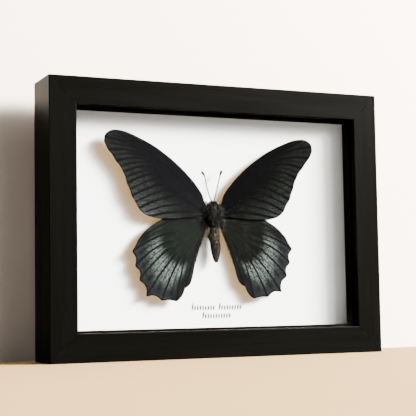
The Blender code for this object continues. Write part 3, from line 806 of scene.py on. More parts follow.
# %% group: wing scales
WARM_LEAK = (0.20, 0.145, 0.055)
wing_grain, sc_in, sc_out = new_group(
    "wing_grain",
    [("Grain scale", NUMBER, 3200.0), ("Streak scale", NUMBER, 0.8)],
    [("Grain", NUMBER), ("Streaks", NUMBER), ("Height", NUMBER)],
)
position = add(wing_grain, "TexCoord").outputs["Object"]
cells = add(wing_grain, "TexVoronoi", {"Vector": position, "Scale": sc_in.outputs["Grain scale"]})
tint = add(wing_grain, "SeparateColor", {0: cells.outputs["Color"]}).outputs[0]
sweep = add(wing_grain, "Attribute", attribute_name="sweep").outputs["Fac"]
out = add(wing_grain, "Attribute", attribute_name="out_mm").outputs["Fac"]
fan = add(wing_grain, "CombineXYZ", {0: math_node(wing_grain, "MULTIPLY", sweep,
                                                  sc_in.outputs["Streak scale"]),
                                     1: math_node(wing_grain, "MULTIPLY", out, 0.10)})
strands = add(wing_grain, "TexNoise", {"Vector": fan.outputs[0], "Scale": 1.0, "Detail": 5.0,
                                       "Roughness": 0.7})
wing_grain.links.new(tint, sc_out.inputs["Grain"])
wing_grain.links.new(strands.outputs["Fac"], sc_out.inputs["Streaks"])
wing_grain.links.new(math_node(wing_grain, "SUBTRACT", 1.0, cells.outputs["Distance"]),
                     sc_out.inputs["Height"])


def stored(tree, name):
    """A number that the mesh's points carry."""
    return add(tree, "Attribute", attribute_name=name).outputs["Fac"]


def lets_warm_light_by(tree, surface):
    """A dry wing isn't quite opaque: a little amber light of the lamps gets through to the paper."""
    amber = add(tree, "BsdfTransparent", {"Color": WARM_LEAK})
    return add(tree, "MixShader", {0: add(tree, "LightPath").outputs["Is Shadow Ray"], 1: surface,
                                   2: amber.outputs[0]}).outputs[0]


print("scales ready")

# %% [markdown]
# ## Forewing colours
# The forewing is velvety black, with a painted blue-grey sheen along its front edge and thin olive-grey streaks
# between the veins that grow paler towards the outer margin. Veins and folds stay black, and a narrow brown
# fringe closes the margin.

# %% material: forewing
# Blue-grey for a painted sheen along the front edge.
EDGE_SHEEN = (0.0065, 0.0068, 0.0078)
BLACK_SCALES = (0.0009, 0.0009, 0.0009)
# Black lightened by painted sheen, for the left forewing.
SHEEN_LIT_BLACK = (0.0016, 0.0016, 0.0018)
DULL_APEX = (0.0019, 0.0019, 0.0018)
OLIVE_GREY = (0.0085, 0.0094, 0.0078)
BLUE_GREY = (0.0170, 0.0178, 0.0185)
RUBBED_GREY = (0.008, 0.008, 0.0075)
FRINGE_BROWN = (0.014, 0.010, 0.006)

forewing_scales, tree = fresh_material("forewing_scales")
scales = use_group(tree, wing_grain, grain_scale=2400.0, streak_scale=0.9)
sweep, reach = stored(tree, "sweep"), stored(tree, "reach")
off_vein = ramp_between(tree, stored(tree, "vein_mm"), 0.25, 1.15)
off_fold = ramp_between(tree, stored(tree, "fold_mm"), 0.15, 0.95, 0.05, 1.0)
outward = ramp_between(tree, reach, 0.02, 0.65)
streaky = ramp_between(tree, scales["Streaks"], 0.36, 0.62, 0.25, 1.0)
grey = math_node(tree, "MULTIPLY", math_node(tree, "MULTIPLY", off_vein, off_fold), streaky)
low_part = ramp_between(tree, sweep, 50.0, 8.0, 0.12, 1.0)
grey = math_node(tree, "MULTIPLY", grey, math_node(tree, "MULTIPLY", outward, low_part))
grainy = ramp_between(tree, scales["Grain"], 0.1, 0.9, 0.35, 1.3)
# Painted sheen: the left forewing's black is lighter.
base = blend_colours(tree, stored(tree, "painted_sheen_side"), BLACK_SCALES, SHEEN_LIT_BLACK)
apex = math_node(tree, "MULTIPLY", ramp_between(tree, stored(tree, "out_mm"), 30.0, 66.0), off_vein)
base = blend_colours(tree, math_node(tree, "MULTIPLY", apex, 0.7), base, DULL_APEX)
tornus = math_node(tree, "MULTIPLY", ramp_between(tree, sweep, 16.0, 2.0),
                   ramp_between(tree, reach, 0.45, 0.95))
pale = blend_colours(tree, tornus, OLIVE_GREY, BLUE_GREY)
# Painted sheen: the grey streaks show more strongly on the left forewing.
grey = math_node(tree, "MULTIPLY", grey, ramp_between(tree, stored(tree, "painted_sheen_side"), 0.0, 1.0, 0.5, 0.95))
colour = blend_colours(tree, math_node(tree, "MULTIPLY", grey, grainy, clamp=True), base, pale)
position = add(tree, "TexCoord").outputs["Object"]
wander = add(tree, "TexNoise", {"Vector": position, "Scale": 260.0, "Detail": 2.0,
                                "Distortion": 1.2}).outputs["Fac"]
hairline = math_node(tree, "ABSOLUTE", math_node(tree, "SUBTRACT", wander, 0.5))
rubbed = add(tree, "TexNoise", {"Vector": position, "Scale": 70.0, "Detail": 1.0}).outputs["Fac"]
rubs = math_node(tree, "MULTIPLY", ramp_between(tree, hairline, 0.008, 0.002),
                 ramp_between(tree, rubbed, 0.55, 0.65))
colour = blend_colours(tree, math_node(tree, "MULTIPLY", rubs, 0.5), colour, RUBBED_GREY)
# Painted sheen: a blue-grey strip of light along the outer part of the front edge.
rim = math_node(tree, "MULTIPLY", ramp_between(tree, stored(tree, "edge_mm"), 0.5, 0.15),
                ramp_between(tree, sweep, 34.0, 40.0))
colour = blend_colours(tree, rim, colour, EDGE_SHEEN)
fringe = ramp_between(tree, stored(tree, "margin_mm"), 0.40, 0.12)
colour = blend_colours(tree, fringe, colour, FRINGE_BROWN)
bump = add(tree, "Bump", {"Height": scales["Height"], "Strength": 0.3, "Distance": 0.00006})
shader = add(tree, "BsdfPrincipled", {
    "Base Color": colour, "Roughness": ramp_between(tree, scales["Grain"], 0.0, 1.0, 0.62, 0.85),
    "Normal": bump.outputs[0], "Specular IOR Level": 0.0,
})
finish_material(tree, lets_warm_light_by(tree, shader.outputs[0]))
print("forewing colours ready")

# %% [markdown]
# ## Hindwing colours
# The cell and the root are dark olive. From an arc round the cell, pale scales are dusted outward in rays,
# parted by the dark veins and the dark folds. The rays are brightest where they begin and thin out towards
# the margin, which is violet grey with round dark blots and a black rim. Dusting by single scales gives the
# rays their salt and pepper look.

# %% material: hindwing
OLIVE_BLACK = (0.0015, 0.0016, 0.0013)
# Olive lightened by painted sheen, for the left hindwing.
SHEEN_LIT_OLIVE = (0.0022, 0.0027, 0.0023)
VIOLET_GREY = (0.0030, 0.0030, 0.0034)
MARGIN_BLACK = (0.0016, 0.0015, 0.0017)
PALE_SCALES = (0.036, 0.042, 0.039)

hindwing_scales, tree = fresh_material("hindwing_scales")
scales = use_group(tree, wing_grain, grain_scale=1900.0, streak_scale=0.55)
painted_sheen_side, sweep, reach = stored(tree, "painted_sheen_side"), stored(tree, "sweep"), stored(tree, "reach")
off_vein = ramp_between(tree, stored(tree, "vein_mm"), 0.22, 0.72)
off_fold = ramp_between(tree, stored(tree, "fold_mm"), 0.10, 0.50, 0.30, 1.0)
wobble = math_node(tree, "MULTIPLY", math_node(tree, "SUBTRACT", scales["Streaks"], 0.5), 0.65)
ragged = math_node(tree, "ADD", reach, wobble)
starts_at = ramp_between(tree, sweep, -50.0, -15.0, 0.14, 0.26)
begins = ramp_between(tree, math_node(tree, "SUBTRACT", ragged, starts_at), 0.0, 0.34)
thins = ramp_between(tree, reach, 0.38, 0.86, 1.0, 0.08)
rays = math_node(tree, "MULTIPLY", off_vein, off_fold)
rays = math_node(tree, "MULTIPLY", rays, math_node(tree, "MULTIPLY", begins, thins))
upper_fade = ramp_between(tree, sweep, -12.0, -24.0, 0.12, 1.0)
inner_fade = ramp_between(tree, sweep, -65.0, -58.0, 0.02, 1.0)
rays = math_node(tree, "MULTIPLY", rays, math_node(tree, "MULTIPLY", upper_fade, inner_fade))
blot = math_node(tree, "MULTIPLY", ramp_between(tree, stored(tree, "fold_mm"), 1.9, 0.7),
                 math_node(tree, "MULTIPLY", ramp_between(tree, reach, 0.66, 0.76),
                           ramp_between(tree, reach, 0.92, 0.85)))
rays = math_node(tree, "MULTIPLY", rays, math_node(tree, "SUBTRACT", 1.0, math_node(tree, "MULTIPLY", blot,
                                                                                    0.6)))
salted = ramp_between(tree, scales["Grain"], 0.12, 0.85, 0.12, 1.35)
# Painted sheen: the left hindwing's olive is lighter.
base = blend_colours(tree, painted_sheen_side, OLIVE_BLACK, SHEEN_LIT_OLIVE)
base = blend_colours(tree, ramp_between(tree, scales["Streaks"], 0.45, 0.66, 0.0, 0.35), base, OLIVE_GREY)
near_edge = math_node(tree, "MULTIPLY", ramp_between(tree, reach, 0.60, 0.90), off_vein)
base = blend_colours(tree, near_edge, base, VIOLET_GREY)
base = blend_colours(tree, math_node(tree, "MULTIPLY", blot, 0.55), base, MARGIN_BLACK)
lines = math_node(tree, "MULTIPLY", math_node(tree, "SUBTRACT", 1.0, off_vein),
                  ramp_between(tree, reach, 0.0, 0.15))
base = blend_colours(tree, math_node(tree, "MULTIPLY", lines, 0.85), base, MARGIN_BLACK)
colour = blend_colours(tree, math_node(tree, "MULTIPLY", rays, salted, clamp=True), base, PALE_SCALES)
rim = ramp_between(tree, stored(tree, "margin_mm"), 0.75, 0.30)
colour = blend_colours(tree, rim, colour, MARGIN_BLACK)
fringe = ramp_between(tree, stored(tree, "margin_mm"), 0.25, 0.08)
colour = blend_colours(tree, math_node(tree, "MULTIPLY", fringe, 0.6), colour, FRINGE_BROWN)
bump = add(tree, "Bump", {"Height": scales["Height"], "Strength": 0.35, "Distance": 0.00006})
shader = add(tree, "BsdfPrincipled", {
    "Base Color": colour, "Roughness": ramp_between(tree, scales["Grain"], 0.0, 1.0, 0.60, 0.85),
    "Normal": bump.outputs[0], "Specular IOR Level": 0.0,
})
finish_material(tree, lets_warm_light_by(tree, shader.outputs[0]))
print("hindwing colours ready")

# %% [markdown]
# ## Under sides
# Nothing but the board sees the under sides, yet they matter: their warm brown tints the light that reaches
# the paper below, which is why the shadow of a mounted butterfly looks tan and not grey.

# %% material: under side
under_scales, tree = fresh_material("under_scales")
scales = use_group(tree, wing_grain, grain_scale=3200.0, streak_scale=0.8)
off_vein = ramp_between(tree, stored(tree, "vein_mm"), 0.2, 0.8)
colour = blend_colours(tree, scales["Streaks"], (0.20, 0.105, 0.035), (0.34, 0.19, 0.075))
colour = blend_colours(tree, math_node(tree, "MULTIPLY", scales["Grain"], 0.3), colour, (0.40, 0.27, 0.13))
colour = blend_colours(tree, off_vein, (0.05, 0.03, 0.015), colour)
bump = add(tree, "Bump", {"Height": scales["Height"], "Strength": 0.3, "Distance": 0.00006})
shader = add(tree, "BsdfPrincipled", {
    "Base Color": colour, "Roughness": ramp_between(tree, scales["Grain"], 0.0, 1.0, 0.7, 0.9),
    "Normal": bump.outputs[0], "Specular IOR Level": 0.1,
})
finish_material(tree, lets_warm_light_by(tree, shader.outputs[0]))

wings = {}
for side_name in ("left", "right"):
    wings[side_name, "hindwing"] = grow_wing("hindwing", side_name, HINDWING,
                                             [hindwing_scales, under_scales])
    wings[side_name, "forewing"] = grow_wing("forewing", side_name, FOREWING,
                                             [forewing_scales, under_scales])
print("wing triangles:", sum(len(w.data.polygons) for w in wings.values()))

# %% [markdown]
# ## The body
# Head, thorax and abdomen are one skin. It is lofted: rings of points follow the body's half widths down
# its
# length, and every ring is flattened towards the board. Grooves part the abdomen's segments, a low keel
# runs
# down the back, and a dark swelling sits at the left of the waist. Fur then hides most of it.

# %% body skin
BODY_STATIONS = [(11.3, 0.0, 0.4), (11.0, 0.0, 1.5), (10.3, 0.0, 2.2), (9.5, 0.0, 2.8), (8.5, 0.0, 3.4),
                 (7.0, 0.0, 3.8), (4.4, 0.0, 3.8), (1.2, 0.1, 3.2), (-1.5, 0.3, 2.6), (-3.2, 0.5, 2.4),
                 (-6.0, 0.7, 2.75), (-11.0, 0.9, 2.95), (-15.0, 1.1, 2.9), (-18.0, 1.25, 2.5),
                 (-20.8, 1.35, 1.75), (-22.4, 1.4, 1.1), (-23.2, 1.4, 0.6), (-23.6, 1.4, 0.25)]
FLATTENED = 0.625
SEGMENT = 2.35
body_low, body_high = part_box("butterfly_body")
BODY_LIFT = (BOARD_FACE - (body_low.y + body_high.y) / 2) / MM
body_line = smooth_line(BODY_STATIONS, 8)[::-1]


def skin(height, angle, outset=0.0):
    """Places (x, z, lift) on the body at a height and an angle round it, where 0 faces the viewer."""
    height, angle = np.broadcast_arrays(np.asarray(height, float), np.asarray(angle, float))
    bend = np.interp(height, body_line[:, 0], body_line[:, 1])
    half = np.interp(height, body_line[:, 0], body_line[:, 2])
    on_abdomen = np.clip((-2.5 - height) / 2, 0, 1)
    into_segment = np.mod(-height, SEGMENT) / SEGMENT
    groove = np.exp(-(np.minimum(into_segment, 1 - into_segment) / 0.11) ** 2)
    half = half * (1 - 0.075 * on_abdomen * groove)
    half = half + 0.18 * np.exp(-(angle / 0.45) ** 2) * np.clip((height + 3) / 4, 0, 1) * np.clip((9 - height) / 3, 0, 1)
    swelling = 1.3 * np.exp(-((height + 8.6) / 1.9) ** 2) * np.clip(-np.sin(angle), 0, 1) ** 2
    half = half + swelling + outset
    return np.stack([bend + half * np.sin(angle), height, BODY_LIFT + half * FLATTENED * np.cos(angle)],
                    axis=-1)


def mesh_piece(name, points, faces, surfaces, node=None, smooth=True):
    """A new mesh object from places in millimetres, which rides with the frame."""
    mesh = bpy.data.meshes.new(name)
    mesh.from_pydata(placed(points).tolist(), [], faces)
    for surface in surfaces:
        mesh.materials.append(surface)
    if smooth:
        mesh.shade_smooth()
    mesh.update()
    piece = bpy.data.objects.new(name, mesh)
    bpy.context.scene.collection.objects.link(piece)
    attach(piece, "root")
    if node:
        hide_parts(node)
    return piece


def tube_faces(rings, sides, first=0):
    """Quads between rings of points, and a fan's worth of corners at each end."""
    faces = []
    for ring in range(rings - 1):
        for side in range(sides):
            a, b = first + ring * sides + side, first + ring * sides + (side + 1) % sides
            faces.append((a, a + sides, b + sides, b))
    faces.append(tuple(first + side for side in range(sides)))
    faces.append(tuple(first + (rings - 1) * sides + side for side in reversed(range(sides))))
    return faces


print("body middle stands", round(BODY_LIFT, 2), "mm above the board")

# %% [markdown]
# ## Colour of skin and fur
# The skin is nearly black on the thorax and brown-grey on the abdomen, where short scales give it a salt
# and
# pepper look. Each hair carries a number between 0 and 1, its tone, so that a bundle of hairs holds dark
# and pale ones side by side.

# %% materials: skin and fur
body_skin, tree = fresh_material("body_skin")
position = add(tree, "TexCoord").outputs["Object"]
up_body = add(tree, "SeparateXYZ", {0: position}).outputs["Z"]
waist = MIDDLE_HEIGHT - 3.0 * MM
abdomen = ramp_between(tree, up_body, waist, waist - 3.0 * MM)
spots = add(tree, "TexVoronoi", {"Vector": position, "Scale": 1900.0})
spot_tone = add(tree, "SeparateColor", {0: spots.outputs["Color"]}).outputs[0]
speckled = blend_colours(tree, ramp_between(tree, spot_tone, 0.3, 0.9), (0.0040, 0.0031, 0.0024),
                         (0.016, 0.0125, 0.009))
colour = blend_colours(tree, abdomen, (0.0010, 0.0010, 0.0009), speckled)
bump = add(tree, "Bump", {"Height": spots.outputs["Distance"], "Strength": 0.6, "Distance": 0.00012})
shader = add(tree, "BsdfPrincipled", {"Base Color": colour, "Roughness": ramp_between(tree, spot_tone, 0.0,
                                                                                      1.0, 0.6, 0.85),
                                      "Normal": bump.outputs[0], "Specular IOR Level": 0.08})
finish_material(tree, shader.outputs[0])


def hair_material(name, dark, pale, from_tone, rough):
    """Hair whose colour goes from dark to pale with each hair's own tone."""
    made, tree = fresh_material(name)
    tone = stored(tree, "tone")
    patch = add(tree, "TexNoise", {"Vector": add(tree, "TexCoord").outputs["Object"],
                                   "Scale": 700.0}).outputs["Fac"]
    mixed = math_node(tree, "ADD", tone, math_node(tree, "MULTIPLY", math_node(tree, "SUBTRACT", patch,
                                                                               0.5), 0.3))
    colour = blend_colours(tree, ramp_between(tree, mixed, from_tone, 1.0), dark, pale)
    shader = add(tree, "BsdfPrincipled", {"Base Color": colour, "Specular IOR Level": 0.03,
                                          "Roughness": ramp_between(tree, tone, 0.0, 1.0, rough,
                                                                    rough + 0.2)})
    finish_material(tree, shader.outputs[0])
    return made


thorax_hair = hair_material("thorax_hair", (0.0005, 0.0005, 0.0005), (0.0062, 0.0056, 0.0045), 0.66, 0.6)
abdomen_hair = hair_material("abdomen_hair", (0.0024, 0.0019, 0.0014), (0.060, 0.049, 0.036), 0.30, 0.65)
pale_hair = hair_material("pale_hair", (0.003, 0.0028, 0.0024), (0.052, 0.047, 0.036), 0.34, 0.55)
wisp_hair = hair_material("wisp_hair", (0.0008, 0.0008, 0.0007), (0.036, 0.032, 0.022), 0.72, 0.6)

rows, sides = np.arange(11.25, -23.55, -0.22), 44
angles = np.linspace(0, 2 * np.pi, sides, endpoint=False)
ring_heights, ring_angles = np.meshgrid(rows, angles, indexing="ij")
skin_points = skin(ring_heights, ring_angles).reshape(-1, 3)
mesh_piece("body_skin", skin_points, tube_faces(len(rows), sides), [body_skin], "butterfly_body")
print("body rings:", len(rows))

# %% [markdown]
# ## Hair as a mesh
# A hair is a tapered blade of two short lengths, bent once, so that a few thousand of them are cheap and
# still cast real shadows. Its tone comes mostly from a slow noise, so that neighbours clump together. A
# bundle is described by where its hairs start, where they point, and how long
# and wide they are; one function turns such arrays into a single mesh. Every random choice comes from a
# generator with a fixed seed, so the specimen is the same each time.

# %% hair builder

def unit(vectors):
    return vectors / np.maximum(np.linalg.norm(vectors, axis=-1, keepdims=True), 1e-9)


def grow_hair(name, starts, heads, lengths, widths, bends, surface, seed, clump=1.1):
    """One mesh of blades. Starts, heads and bends are rows of (x, z, lift); lengths and widths in mm."""
    chance = np.random.default_rng(seed)
    count = len(starts)
    heads = unit(heads)
    across = unit(np.cross(heads, chance.normal(size=(count, 3))))
    half = across * (widths / 2)[:, None]
    middle = starts + heads * (lengths * 0.5)[:, None]
    tip = starts + heads * lengths[:, None] + bends * lengths[:, None]
    roof = AIR_GAP - 0.12
    corners = np.stack([starts - half, starts + half, middle + half * 0.75, middle - half * 0.75, tip],
                       axis=1)
    corners[..., 2] = np.clip(corners[..., 2], 0.15, roof)
    first = np.arange(count) * 5
    faces = [tuple(f) for f in np.stack([first, first + 1, first + 2, first + 3], axis=1).tolist()]
    faces += [tuple(f) for f in np.stack([first + 3, first + 2, first + 4], axis=1).tolist()]
    piece = mesh_piece(name, corners.reshape(-1, 3), faces, [surface], smooth=False)
    clumps = np.array([noise.noise(Vector(start) * clump) for start in starts.tolist()])
    tones = np.clip(0.5 + 0.9 * clumps + 0.55 * (chance.random(count) - 0.5), 0, 1)
    store(piece.data, "tone", np.repeat(tones, 5))
    print(name, "hairs:", count)
    return piece


def on_body(count, low, high, spread, seed):
    """Random starts on the skin, with the outward direction at each."""
    chance = np.random.default_rng(seed)
    heights = chance.uniform(low, high, count)
    turns = chance.uniform(-spread, spread, count)
    starts = skin(heights, turns, -0.06)
    outward = unit(skin(heights, turns, 0.5) - starts)
    return chance, starts, outward, heights, turns


# %% thorax and head fur
chance, starts, outward, heights, turns = on_body(9000, -3.2, 8.6, 2.5, 11)
heads = outward * 0.40 + np.array([0.0, -0.85, 0.0]) + chance.normal(scale=0.28, size=outward.shape)
heads[:, 0] += np.sin(turns) * 0.35
lengths = chance.uniform(1.0, 2.8, len(starts)) * np.interp(heights, [-3.2, 0.5, 5, 8.6],
                                                            [0.35, 0.8, 1.1, 0.7])
bends = np.column_stack([chance.normal(scale=0.1, size=len(starts)), np.full(len(starts), -0.12),
                         np.full(len(starts), -0.05)])
grow_hair("thorax_fur", starts, heads, lengths, chance.uniform(0.08, 0.20, len(starts)), bends, thorax_hair,
          12)

chance, starts, outward, heights, turns = on_body(120, -2.4, 9.8, 1.25, 15)
heads = outward * 0.35 + np.array([0.0, -1.0, 0.0]) + chance.normal(scale=0.22, size=outward.shape)
heads[:, 0] += np.sin(turns) * 0.3
grow_hair("thorax_pale_strands", starts + outward * 0.5, heads, chance.uniform(1.2, 2.6, len(starts)),
          chance.uniform(0.08, 0.18, len(starts)), chance.normal(scale=0.12, size=(len(starts), 3)),
          pale_hair, 16)

chance, starts, outward, heights, turns = on_body(2600, 8.0, 11.1, 2.6, 21)
heads = outward * 0.8 + np.array([0.0, 0.45, 0.1]) + chance.normal(scale=0.3, size=outward.shape)
grow_hair("head_fur", starts, heads, chance.uniform(0.4, 1.0, len(starts)),
          chance.uniform(0.06, 0.10, len(starts)),
          np.zeros((len(starts), 3)), thorax_hair, 22)

# %% abdomen fur
chance, starts, outward, heights, turns = on_body(11000, -23.2, -2.8, 2.6, 31)
heads = outward * 0.22 + np.array([0.0, -1.0, 0.0]) + chance.normal(scale=0.16, size=outward.shape)
lengths = chance.uniform(0.45, 0.95, len(starts)) * np.interp(heights, [-23.2, -21, -3], [0.6, 0.9, 1.15])
bends = np.column_stack([chance.normal(scale=0.08, size=len(starts)), np.zeros(len(starts)),
                         np.full(len(starts), -0.08)])
grow_hair("abdomen_fur", starts, heads, lengths, chance.uniform(0.14, 0.30, len(starts)), bends,
          abdomen_hair, 32, clump=2.1)

# %% [markdown]
# ## Tufts at the wing roots
# Long silky hair spreads from the sides of the thorax over the roots of the wings, and a looser fringe
# hangs
# along the inner edge of the hindwings. It hides the joints, and its few pale strands catch the light.

# %% wing root tufts


def root_tuft(name, side, centre, spread, aim, lift, count, seed):
    """Hair that starts round one spot beside the thorax and fans out over a wing."""
    chance = np.random.default_rng(seed)
    starts = np.column_stack([
        side * (centre[0] + chance.normal(scale=spread[0], size=count)),
        centre[1] + chance.normal(scale=spread[1], size=count),
        lift + chance.uniform(0.0, 0.5, count),
    ])
    fan = np.column_stack([np.full(count, side * aim[0]), np.full(count, aim[1]),
                           chance.uniform(-0.03, 0.10, count)])
    fan[:, 1] += (starts[:, 1] - centre[1]) * 0.22
    heads = fan + chance.normal(scale=0.16, size=fan.shape) * (1, 1, 0.2)
    bends = chance.normal(scale=0.12, size=(count, 3)) * (1, 1, 0.2)
    grow_hair(name, starts, heads, chance.uniform(1.6, 4.6, count), chance.uniform(0.06, 0.15, count),
              bends,
              wisp_hair, seed + 1)


for side_name, side in SIDES:
    root_tuft(side_name + "_forewing_tuft", side, (3.1, 5.0), (0.5, 1.6), (1.0, 0.35), 4.25, 900, 41 + side)
    root_tuft(side_name + "_hindwing_tuft", side, (3.2, -0.6), (0.6, 1.3), (1.0, -0.45), 3.65, 900,
              51 + side)

for side_name, side, count in (("left", -1, 60), ("right", 1, 26)):
    chance = np.random.default_rng(57 + side)
    starts = np.column_stack([side * chance.uniform(4.0, 13.0, count), chance.uniform(-2.0, 4.2, count),
                              chance.uniform(4.5, 4.8, count)])
    heads = np.column_stack([np.full(count, side * 1.0), chance.normal(-0.1, 0.45, count), np.zeros(count)])
    grow_hair(side_name + "_pale_wisps", starts, heads, chance.uniform(1.0, 3.2, count),
              chance.uniform(0.06, 0.13, count), chance.normal(scale=0.25, size=(count, 3)) * (1, 1, 0.1),
              pale_hair,
              58 + side)

chance = np.random.default_rng(61)
for side_name, side in SIDES:
    edge_line = evenly(smooth_line(HINDWING["inner"], 12), 0.05)
    edge_line = edge_line[(edge_line[:, 1] > -24) & (edge_line[:, 0] > 3)]
    picked = edge_line[chance.integers(0, len(edge_line), 900)] + chance.normal(scale=0.25, size=(900, 2)) + (0.5, 0)
    there = set_in_place(picked, "hindwing", side_name)
    starts = np.column_stack([there, 3.42 + picked[:, 0] * RISE + chance.uniform(0, 0.08, 900)])
    heads = np.column_stack([chance.normal(-side * 0.25, 0.25, 900), np.full(900, -1.0),
                             chance.normal(0.0, 0.05, 900)])
    grow_hair(side_name + "_inner_fringe", starts, heads, chance.uniform(0.7, 1.8, 900),
              chance.uniform(0.05, 0.09, 900),
              chance.normal(scale=0.1, size=(900, 3)) * (1, 1, 0.2), wisp_hair, 62 + side)

# %% [markdown]
# ## Eyes, feelers and mouth feelers
# The eyes are two faceted domes at the sides of the head: their facets come from a honeycomb of cells in
# the
# bump. An antenna is a thin jointed rod that swells to a club, swept along the same route as its CAD solid.
# Two short palps lie in front of the mouth.

# %% materials: eyes and horn
eye_surface, tree = fresh_material("eye_surface")
position = add(tree, "TexCoord").outputs["Object"]
facets = add(tree, "TexVoronoi", {"Vector": position, "Scale": 9000.0})
cloud = add(tree, "TexNoise", {"Vector": position, "Scale": 1500.0}).outputs["Fac"]
colour = blend_colours(tree, cloud, (0.0012, 0.0008, 0.0006), (0.0050, 0.0030, 0.0020))
bump = add(tree, "Bump", {"Height": facets.outputs["Distance"], "Strength": 0.4, "Distance": 0.00004})
shader = add(tree, "BsdfPrincipled", {"Base Color": colour, "Roughness": ramp_between(tree, cloud, 0.3, 0.7,
                                                                                      0.2, 0.35),
                                      "Normal": bump.outputs[0], "Specular IOR Level": 0.4})
finish_material(tree, shader.outputs[0])

dark_horn, tree = fresh_material("dark_horn")
position = add(tree, "TexCoord").outputs["Object"]
mottle = add(tree, "TexNoise", {"Vector": position, "Scale": 2400.0, "Detail": 3.0}).outputs["Fac"]
colour = blend_colours(tree, ramp_between(tree, mottle, 0.35, 0.7), (0.0015, 0.0014, 0.0013),
                       (0.006, 0.005, 0.004))
bump = add(tree, "Bump", {"Height": mottle, "Strength": 0.3, "Distance": 0.00003})
shader = add(tree, "BsdfPrincipled", {"Base Color": colour,
                                      "Roughness": ramp_between(tree, mottle, 0.3, 0.7, 0.4, 0.6),
                                      "Normal": bump.outputs[0], "Specular IOR Level": 0.15})
finish_material(tree, shader.outputs[0])
print("eyes and horn ready")

# %% eyes and palps


def dome(centre, radii, rings=18, sides=28):
    """Points and faces of an egg with its poles up and down the body."""
    latitudes = np.linspace(0.12, np.pi - 0.12, rings)
    around = np.linspace(0, 2 * np.pi, sides, endpoint=False)
    la, ar = np.meshgrid(latitudes, around, indexing="ij")
    points = np.stack([np.sin(la) * np.sin(ar) * radii[0], np.cos(la) * radii[1],
                       np.sin(la) * np.cos(ar) * radii[2]], axis=-1)
    return points.reshape(-1, 3) + np.asarray(centre), tube_faces(rings, sides)


for side_name, side in SIDES:
    points, faces = dome((side * 2.35, 9.85, BODY_LIFT + 0.2), (1.0, 1.15, 1.05))
    mesh_piece(side_name + "_eye", points, faces, [eye_surface])
    points, faces = dome((side * 0.45, 11.25, BODY_LIFT - 0.35), (0.33, 0.85, 0.40), 12, 16)
    mesh_piece(side_name + "_palp", points, faces, [thorax_hair])
print("eyes and palps made")

# %% antennae
ANTENNAE = {
    "left": [(-0.9, 10.9), (-1.2, 11.6), (-2.6, 15.5), (-4.0, 20.3), (-5.1, 25.6), (-6.9, 28.1)],
    "right": [(0.5, 10.9), (0.7, 11.6), (1.7, 15.5), (3.0, 20.3), (4.4, 25.6), (5.6, 29.1)],
}
ROD_RADIUS = 0.37
JOINT_LENGTH = 0.42
for side_name, route in ANTENNAE.items():
    rod = evenly(smooth_line(route, 16), 0.07)
    travel = np.linspace(0, 1, len(rod))
    along = unit(np.gradient(rod, axis=0))
    joints = np.mod(travel * (len(rod) - 1) * 0.07 / JOINT_LENGTH, 1.0)
    club = 1.25 * np.clip((travel - 0.80) / 0.13, 0, 1) * np.clip((1.0 - travel) / 0.03, 0.25, 1)
    radius = ROD_RADIUS * (1 + club) * (0.88 + 0.16 * joints ** 0.5)
    turns = np.linspace(0, 2 * np.pi, 10, endpoint=False)
    sideways = np.column_stack([-along[:, 1], along[:, 0]])
    rod_lift = BODY_LIFT + 0.15 * np.sin(travel * 2.5)
    rings = [np.column_stack([p[0] + s[0] * r * np.cos(turns), p[1] + s[1] * r * np.cos(turns),
                              l + r * np.sin(turns)])
             for p, s, r, l in zip(rod, sideways, radius, rod_lift)]
    mesh_piece(side_name + "_feeler", np.vstack(rings), tube_faces(len(rod), 10), [dark_horn],
               side_name + "_antenna")
print("antennae made")

# %% [markdown]
# ## A handwritten caption without words
# Such specimens carry two short handwritten lines below the butterfly. Here they are only pen strokes: rows
# of small slanted ticks, some of them taller, in grey ink, which say nothing in any language. Each tick is
# a
# ribbon that swells in the middle, as a broad nib draws it, and lies just above the paper.

# %% caption strokes
pen_ink, tree = fresh_material("pen_ink")
bleed = add(tree, "TexNoise", {"Vector": add(tree, "TexCoord").outputs["Object"], "Scale": 2600.0,
                               "Detail": 3.0}).outputs["Fac"]
colour = blend_colours(tree, ramp_between(tree, bleed, 0.3, 0.7), (0.004, 0.004, 0.0045),
                       (0.010, 0.010, 0.011))
bump = add(tree, "Bump", {"Height": bleed, "Strength": 0.2, "Distance": 0.00002})
shader = add(tree, "BsdfPrincipled", {"Base Color": colour, "Roughness": ramp_between(tree, bleed, 0.3, 0.7,
                                                                                      0.6, 0.8),
                                      "Normal": bump.outputs[0], "Specular IOR Level": 0.2})
finish_material(tree, shader.outputs[0])
FRAME_MIDDLE = -BODY_LINE / MM
INK_LIFT = 0.03
CAPTION_ROWS = [(-15.7, -50.4, (5, 5)), (-9.2, -55.1, (6,))]
STROKE_PITCH, WORD_SPACE, SMALL, TALL = 1.65, 1.9, 2.8, 4.3


def pen_stroke(x, z, height):
    """A slanted ribbon from foot to head, thin at both ends."""
    t = np.linspace(0, 1, 7)
    middle_x = x + t * height * 0.28 + 0.16 * np.sin(t * 2 * np.pi)
    half = 0.24 + 0.30 * np.sin(t * np.pi)
    left = np.column_stack([middle_x - half, z + t * height, np.full(7, INK_LIFT)])
    return np.vstack([left, left + np.column_stack([2 * half, np.zeros(7), np.zeros(7)])])


chance = np.random.default_rng(71)
stroke_points, stroke_faces = [], []
for start_x, base, words in CAPTION_ROWS:
    x = start_x
    for strokes in words:
        for stroke in range(strokes * 2 - 1):
            height = TALL if stroke == 0 else SMALL * chance.uniform(0.94, 1.06)
            first = 14 * len(stroke_points)
            stroke_points.append(pen_stroke(FRAME_MIDDLE + x, base, height))
            stroke_faces += [(first + i, first + i + 7, first + i + 8, first + i + 1) for i in range(6)]
            x += STROKE_PITCH
        x += WORD_SPACE
mesh_piece("caption_strokes", np.vstack(stroke_points), stroke_faces, [pen_ink],
           smooth=False)
print("pen strokes:", len(stroke_points))

